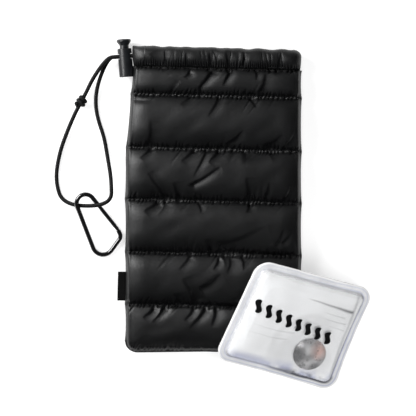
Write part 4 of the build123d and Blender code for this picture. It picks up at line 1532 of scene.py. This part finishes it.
def clear_film(name, tint):
    """Clear vinyl film: glossy, faint over the gel and cloudier along its weld, with a painted highlight
    on the weld's outer edge, painted shade in its grooves and a painted shade streak by the gel's lower
    edge.
    """
    made = MaterialNodes(name, transparent=True)
    place = made.place()
    u, v = made.flat_place()
    value = made.mottle(place, 70.0)
    waver = made.product(made.math("SUBTRACT", made.noise(place, 60.0), 0.5), 0.45)
    inward = made.math("ADD", made.attribute("inset"), waver)
    shade_to_lower_right = made.ramp(made.math("SUBTRACT", u, v), -40 * MM, 55 * MM, 0.25, 1.0)
    tone = made.mix(made.ramp(value, 0.35, 0.65), (0.70, 0.705, 0.725, 1), (0.86, 0.865, 0.875, 1))
    # Painted highlight: the weld's outer edge turns near white.
    tone = made.mix(made.ramp(inward, 0.12, 0.26, 1.0, 0.0), tone, (0.96, 0.96, 0.965, 1))
    # Painted shade: lilac grey lines in the weld's grooves, heavier towards the lower right, away from
    # the light.
    for middle, wide, strength in ((0.36, 0.16, 0.70), (0.92, 0.20, 0.85)):
        near = made.ramp(made.off(inward, middle), 0.0, wide, strength, 0.0)
        tone = made.mix(made.product(near, shade_to_lower_right), tone, toned(tint))
    # Painted shade: a dark streak beside the gel's lower edge, in patches.
    painted_shade_streak = made.product(
        made.ramp(made.off(inward, 0.86), 0.05, 0.30, 0.92, 0.0),
        made.ramp(u, -14 * MM, 8 * MM),
        made.ramp(v, PACK_LOW_EDGE + 12 * MM, PACK_LOW_EDGE + 9 * MM),
        made.ramp(made.noise(place, 45.0), 0.38, 0.50, 0.25, 1.0),
    )
    return made.finish(
        Base_Color=made.mix(painted_shade_streak, tone, (0.045, 0.048, 0.06, 1)),
        Roughness=made.uneven(value, 0.10, 0.22),
        Specular_IOR_Level=0.5,
        Alpha=made.ramp(made.attribute("weld"), 0.0, 1.0, 0.10, 0.86),
        Normal=made.bump(value, 0.15 * MM, 0.3),
    )


def clouded_gel(name, gel, tint):
    """Clouded gel under film: milky, with fine crystals, faint ruled lines, a tinted lower edge, a
    painted shade line down its right side and painted shade along its lower edge.
    """
    made = MaterialNodes(name)
    place = made.place()
    u, v = made.flat_place()
    value = made.mottle(place, 38.0, 700.0)
    tone = made.mix(made.ramp(value, 0.38, 0.66), toned(gel, 0.90), toned(gel))
    ripple = made.product(made.math("SUBTRACT", made.noise(place, 90.0), 0.5), 1.6 * MM)
    for low_u, high_u, at_v, tilt, thick, strength in (
        (-1.0, 39.0, 25.3, -0.07, 2.0, 1.0),
        (10.0, 34.0, 18.5, -0.04, 0.9, 0.34),
        (12.0, 36.0, 13.5, -0.03, 1.0, 0.40),
        (18.0, 37.0, 8.5, -0.04, 0.9, 0.30),
        (-38.0, 2.0, -5.5, -0.03, 1.0, 0.26),
        (-41.0, -2.0, -12.0, -0.03, 1.0, 0.24),
    ):
        level = made.math("ADD", made.math("SUBTRACT", v, at_v * MM), ripple)
        height = made.math("ADD", level, made.product(u, -tilt))
        along = made.ramp(u, low_u * MM, high_u * MM, 0.35, 1.0)
        away = made.math("ABSOLUTE", made.math("DIVIDE", height, along))
        near = made.ramp(away, 0.0, thick * MM, 1.0, 0.0)
        begun = made.ramp(u, low_u * MM, (low_u + 6) * MM)
        ended = made.ramp(u, (high_u - 1.5) * MM, high_u * MM, 1.0, 0.0)
        inside = made.product(begun, ended, along)
        tone = made.mix(made.product(near, inside, strength), tone, (0.035, 0.037, 0.042, 1))
    # Painted shade: a grey line down the gel's right side, where its pillow slopes away from the light.
    side = made.off(made.math("ADD", u, ripple), PACK_WIDTH / 2 - 8.5 * MM)
    tone = made.mix(made.ramp(side, 0.3 * MM, 1.7 * MM, 0.45, 0.0), tone, (0.22, 0.225, 0.25, 1))
    tinted = made.product(
        made.ramp(v, PACK_LOW_EDGE + 15 * MM, PACK_LOW_EDGE + 8 * MM),
        made.ramp(made.noise(place, 55.0), 0.38, 0.54),
        0.9,
    )
    tone = made.mix(tinted, tone, toned(tint))
    shade = made.product(
        made.ramp(v, PACK_LOW_EDGE + 9.5 * MM, PACK_LOW_EDGE + 6.5 * MM),
        made.ramp(u, -6 * MM, 14 * MM, 0.0, 0.95),
        made.ramp(made.noise(place, 80.0), 0.42, 0.54),
    )
    return made.finish(
        Base_Color=made.mix(shade, tone, (0.05, 0.052, 0.065, 1)),
        Roughness=made.uneven(value, 0.16, 0.30),
        Specular_IOR_Level=0.5,
        Coat_Weight=0.6,
        Coat_Roughness=0.06,
        Normal=made.bump(value, 0.4 * MM, 0.35),
    )


def snap_steel(name, rgb):
    """Stamped snap disc: mottled steel, with a painted highlight, a painted pink reflection and painted
    shade on two sides.
    """
    made = MaterialNodes(name)
    place = made.place()
    value = made.mottle(place, 210.0, 1100.0)
    tone = made.mix(made.ramp(value, 0.36, 0.66), toned(rgb, 0.28), toned(rgb))
    # Painted light on the disc: a white painted highlight above the middle, a pink painted reflection to
    # the right, painted shade on the left rim and towards the bottom.
    for u, v, near, far, strength, patch in (
        (-1.5, 4.5, 1.5, 6.0, 0.80, (0.97, 0.97, 0.97, 1)),
        (6.0, 5.0, 2.0, 9.0, 0.75, (0.80, 0.42, 0.33, 1)),
        (-10.5, -3.5, 4.0, 9.5, 0.98, (0.006, 0.006, 0.007, 1)),
        (8.0, -9.5, 2.0, 6.0, 0.85, (0.02, 0.02, 0.022, 1)),
    ):
        painted_light_at = pack_matrix() @ Vector((DISC_AT[0] + u * MM, DISC_AT[1] + v * MM, DISC_HEIGHT))
        share = made.ramp(made.distance(place, painted_light_at), near * MM, far * MM, strength, 0.0)
        tone = made.mix(share, tone, patch)
    away = made.distance(place, pack_matrix() @ Vector((*DISC_AT, DISC_HEIGHT)))
    dome = made.product(away, away, -DISC_DOME)
    height = made.math("ADD", dome, made.product(value, 0.45 * MM))
    return made.finish(
        Base_Color=tone,
        Metallic=0.65,
        Roughness=made.uneven(value, 0.22, 0.42),
        Normal=made.bump(height, 1.0, 1.0),
    )


def printing_ink(name, rgb):
    """Flat printing ink, very slightly uneven."""
    made = MaterialNodes(name)
    value = made.mottle(made.place(), 300.0)
    return made.finish(
        Base_Color=made.mix(made.ramp(value, 0.4, 0.7), toned(rgb), toned(rgb, 2.5)),
        Roughness=made.uneven(value, 0.55, 0.7),
        Specular_IOR_Level=0.15,
        Normal=made.bump(value, 0.02 * MM, 0.3),
    )


def pack_shell(name, places, outer, inner):
    """Closed shell on the pack's rings, between its heights outside and inside."""
    rows, cols = outer.shape
    shell = np.concatenate([raised(places, outer)[::-1], raised(places, inner)])
    uv = np.concatenate([places[::-1], places])
    uv = np.concatenate([uv, uv[:, :1]], 1)
    last = (2 * rows - 1) * cols
    caps = [range(cols), range(last, last + cols)[::-1]]
    piece = lattice(name, shell, uv, around=True, caps=caps)
    outward(piece)
    return piece


class MakeGelPack(bpy.types.Operator):
    """Fill and weld the clear film round its clouded gel, and print on it"""

    bl_idname = "heat_pack.make_gel_pack"
    bl_label = "Gel pack"

    count = 420
    weld_insets = [step * 0.5 * MM for step in range(37)]
    centre_rings = 22

    def execute(self, context):
        settings = context.scene.gel_pack_settings
        flat = pack_rings(self.count, self.weld_insets, self.centre_rings)
        wrinkles = film_wrinkles(flat)
        inset = inset_in_pack(flat)
        inside = np.clip((inset - PACK_WELD) / (1.5 * MM), 0, 1)
        bead = WELD_BEAD * np.sin(math.pi * np.clip(inset / PACK_WELD, 0, 1)) ** 0.7
        bead = np.where(inset < PACK_WELD, bead, 0)
        upper = soften(pillow(flat, UPPER_PROFILE, UPPER_CROWN), 2) + wrinkles * inside
        upper = over_disc(flat, upper, DISC_HEIGHT + 2.6 * MM)
        lower = -soften(pillow(flat, LOWER_PROFILE, LOWER_CROWN), 2)
        film_top = upper + FILM + bead
        film_low = lower - FILM + 0.1 * MM
        self.make_film(settings, flat, inset, film_top, film_low, upper, lower)
        self.make_gel(settings, flat, inset, upper, lower)
        disc = nodes["clicker_disc"]
        dress(disc, ready("Snap disc steel", snap_steel, settings.disc_colour))
        self.print_waves(settings, flat, film_top)
        return {"FINISHED"}

    def make_film(self, settings, flat, inset, top, low, upper, lower):
        """Both films as closed shells that meet along the weld."""
        finish = ready("Clear film", clear_film, settings.tint_colour)
        for name, outer, inner, node in (
            ("upper_film", top, np.maximum(upper + 0.05 * MM, FILM_LEAST), "pack_upper_film"),
            ("lower_film", low, np.minimum(lower - FILM_LEAST, -FILM_LEAST), "pack_lower_film"),
        ):
            piece = pack_shell(name, flat, outer, inner)
            inward = np.concatenate([inset[::-1], inset]).ravel()
            share = 1 - np.clip((inward - PACK_WELD + 0.6 * MM) / (2.2 * MM), 0, 1)
            for label, values in (("weld", share), ("inset", inward / PACK_WELD)):
                layer = piece.data.attributes.new(label, "FLOAT", "POINT")
                layer.data.foreach_set("value", values.astype(np.float32))
            dress(piece, finish)
            settle(piece, "heat_pack", "clear_film", node)

    def make_gel(self, settings, flat, inset, upper, lower):
        """Gel core between the films, pressed down under the snap disc."""
        keep = inset[:, 0] >= PACK_WELD + 0.25 * MM
        places = flat[keep]
        top = np.maximum(upper[keep] - GEL_GAP, 0.05 * MM)
        top = over_disc(places, top, DISC_HEIGHT - 0.9 * MM)
        bottom = np.minimum(lower[keep] + GEL_GAP, -FILM_LEAST)
        gel = pack_shell("gel_core", places, top, bottom)
        dress(gel, ready("Clouded gel", clouded_gel, settings.gel_colour, settings.tint_colour))
        settle(gel, "heat_pack", "gel", "pack_gel")

    def print_waves(self, settings, flat, film_top):
        """Row of bold wavy heat strokes printed on the upper film."""
        rows, cols = film_top.shape
        middle = range((rows - 1) * cols, rows * cols)
        tree = ray_tree(raised(flat, film_top), around=True, caps=[middle])
        points = []
        faces = []
        for stroke in range(STROKES):
            centre = FIRST_STROKE.lerp(LAST_STROKE, stroke / (STROKES - 1))
            self.add_stroke(tree, centre, points, faces)
        ink = piece_of_points("printed_waves", points, faces)
        outward(ink)
        dress(ink, ready("Printing ink", printing_ink, settings.print_colour))
        settle(ink, "heat_pack", "clear_film")

    def add_stroke(self, tree, centre, points, faces):
        """One wavy stroke as a thin closed layer that follows the film."""
        matrix = pack_matrix()
        steps = 40
        sides = (-1.0, -0.5, 0.0, 0.5, 1.0)
        wide_row = len(sides)
        layer_size = wide_row * (steps + 1)
        base = len(points)
        for layer in (0.0, INK_LAYER):
            for step in range(steps + 1):
                share = step / steps
                y = centre.y + (share - 0.5) * STROKE_LENGTH
                sway = STROKE_SWAY * math.sin(math.tau * share)
                wide = STROKE_HALF_WIDTH * math.sqrt(max(1 - abs(2 * share - 1) ** 6, 0.01))
                for side in sides:
                    above = matrix @ Vector((centre.x + sway + wide * side, y, 0.03))
                    hit = tree.ray_cast(above, PACK_NORMAL * -1)[0]
                    if hit is None:
                        raise RuntimeError("A printed stroke missed the film")
                    points.append(hit + PACK_NORMAL * layer)
        for step in range(steps):
            first = base + step * wide_row
            for low in range(first, first + wide_row - 1):
                top = low + layer_size
                faces.append([low, low + wide_row, low + wide_row + 1, low + 1])
                faces.append([top, top + 1, top + wide_row + 1, top + wide_row])
            for low in (first, first + wide_row - 1):
                top = low + layer_size
                faces.append([low, top, top + wide_row, low + wide_row])
        for first in (base, base + steps * wide_row):
            for low in range(first, first + wide_row - 1):
                faces.append([low, low + 1, low + 1 + layer_size, low + layer_size])


def plain_floor(name):
    """Plain pale floor, lit as the object is and near white to the camera."""
    made = MaterialNodes(name)
    seen = made.add("ShaderNodeLightPath").outputs
    views = made.math("MAXIMUM", seen["Is Camera Ray"], seen["Is Glossy Ray"])
    views = made.math("MAXIMUM", views, seen["Is Transmission Ray"])
    grain = made.noise(made.place(), 40.0)
    tone = made.mix(grain, (0.56, 0.56, 0.56, 1), (0.60, 0.60, 0.60, 1))
    made.finish(Base_Color=tone, Roughness=0.9, Specular_IOR_Level=0.1)
    glow = made.add("ShaderNodeEmission", Color=(1, 1, 1, 1), Strength=made.product(views, 0.55))
    lit, glowing = made.shader.outputs["BSDF"], glow.outputs["Emission"]
    made.set(made.out, "Surface", made.add("ShaderNodeAddShader", _0=lit, _1=glowing).outputs["Shader"])
    return made.material


class SetStage(bpy.types.Operator):
    """Lay the floor, set the lamps and hang the camera straight above"""

    bl_idname = "heat_pack.set_stage"
    bl_label = "Stage"

    def execute(self, context):
        deselect()
        bpy.ops.mesh.primitive_plane_add(size=FLOOR_SIZE, location=(0, 0, FLOOR_Z))
        floor = finish_primitive("floor")
        dress(floor, plain_floor("Plain floor"))
        for name, place, size, power, glossy in LAMPS:
            self.add_lamp(name, place, size, power).visible_glossy = glossy
        world = bpy.data.worlds.new("Studio")
        context.scene.world = world
        world.use_nodes = True
        sky = world.node_tree.nodes["Background"]
        sky.inputs["Color"].default_value = (1, 1, 1, 1)
        sky.inputs["Strength"].default_value = SKY_STRENGTH
        context.scene.view_settings.view_transform = "Standard"
        data = bpy.data.cameras.new("camera")
        camera = bpy.data.objects.new("camera", data)
        context.scene.collection.objects.link(camera)
        camera.location = (*VIEW_CENTRE, CAMERA_HEIGHT)
        data.sensor_width = SENSOR_WIDTH_MM
        data.lens = data.sensor_width * (CAMERA_HEIGHT - VIEW_PLANE_Z) / VIEW_WIDTH
        data.clip_end = 20
        context.scene.camera = camera
        return {"FINISHED"}

    def add_lamp(self, name, place, size, power):
        """Square soft lamp, aimed at the scene's origin."""
        data = bpy.data.lights.new(name, "AREA")
        data.shape = "SQUARE"
        data.size = size
        data.energy = power
        lamp = bpy.data.objects.new(name, data)
        bpy.context.scene.collection.objects.link(lamp)
        lamp.location = place
        lamp.rotation_euler = (-Vector(place)).to_track_quat("-Z", "Y").to_euler()
        return lamp


class HeatPackPanel(bpy.types.Panel):
    """Sizes, colours and steps of the heat pack and its pouch"""

    bl_idname = "VIEW3D_PT_heat_pack"
    bl_label = "Heat Pack"
    bl_space_type = "VIEW_3D"
    bl_region_type = "UI"
    bl_category = "Heat Pack"

    def draw(self, context):
        for group in (
            context.scene.pouch_settings,
            context.scene.cord_settings,
            context.scene.gel_pack_settings,
        ):
            box = self.layout.box()
            for name in group.bl_rna.properties.keys():
                if name not in ("rna_type", "name"):
                    box.prop(group, name)
        for step in STEPS:
            self.layout.operator(step.bl_idname)


SETTINGS = (PouchSettings, CordSettings, GelPackSettings)
STEPS = (
    SetStage,
    MakeCord,
    MakePouch,
    MakeSeams,
    MakeHem,
    MakeLabel,
    FinishLock,
    FinishCarabiner,
    MakeGelPack,
)
CLASSES = SETTINGS + STEPS + (HeatPackPanel,)


def register():
    """Register the classes and put the settings on the scene."""
    for item in CLASSES:
        bpy.utils.register_class(item)
    bpy.types.Scene.pouch_settings = PointerProperty(type=PouchSettings)
    bpy.types.Scene.cord_settings = PointerProperty(type=CordSettings)
    bpy.types.Scene.gel_pack_settings = PointerProperty(type=GelPackSettings)


def unregister():
    """Take the settings and the classes away again."""
    del bpy.types.Scene.gel_pack_settings
    del bpy.types.Scene.cord_settings
    del bpy.types.Scene.pouch_settings
    for item in reversed(CLASSES):
        bpy.utils.unregister_class(item)


def main():
    """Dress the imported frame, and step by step."""
    register()
    for step in STEPS:
        group, name = step.bl_idname.split(".")
        getattr(getattr(bpy.ops, group), name)()
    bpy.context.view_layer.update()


if __name__ == "__main__":
    main()
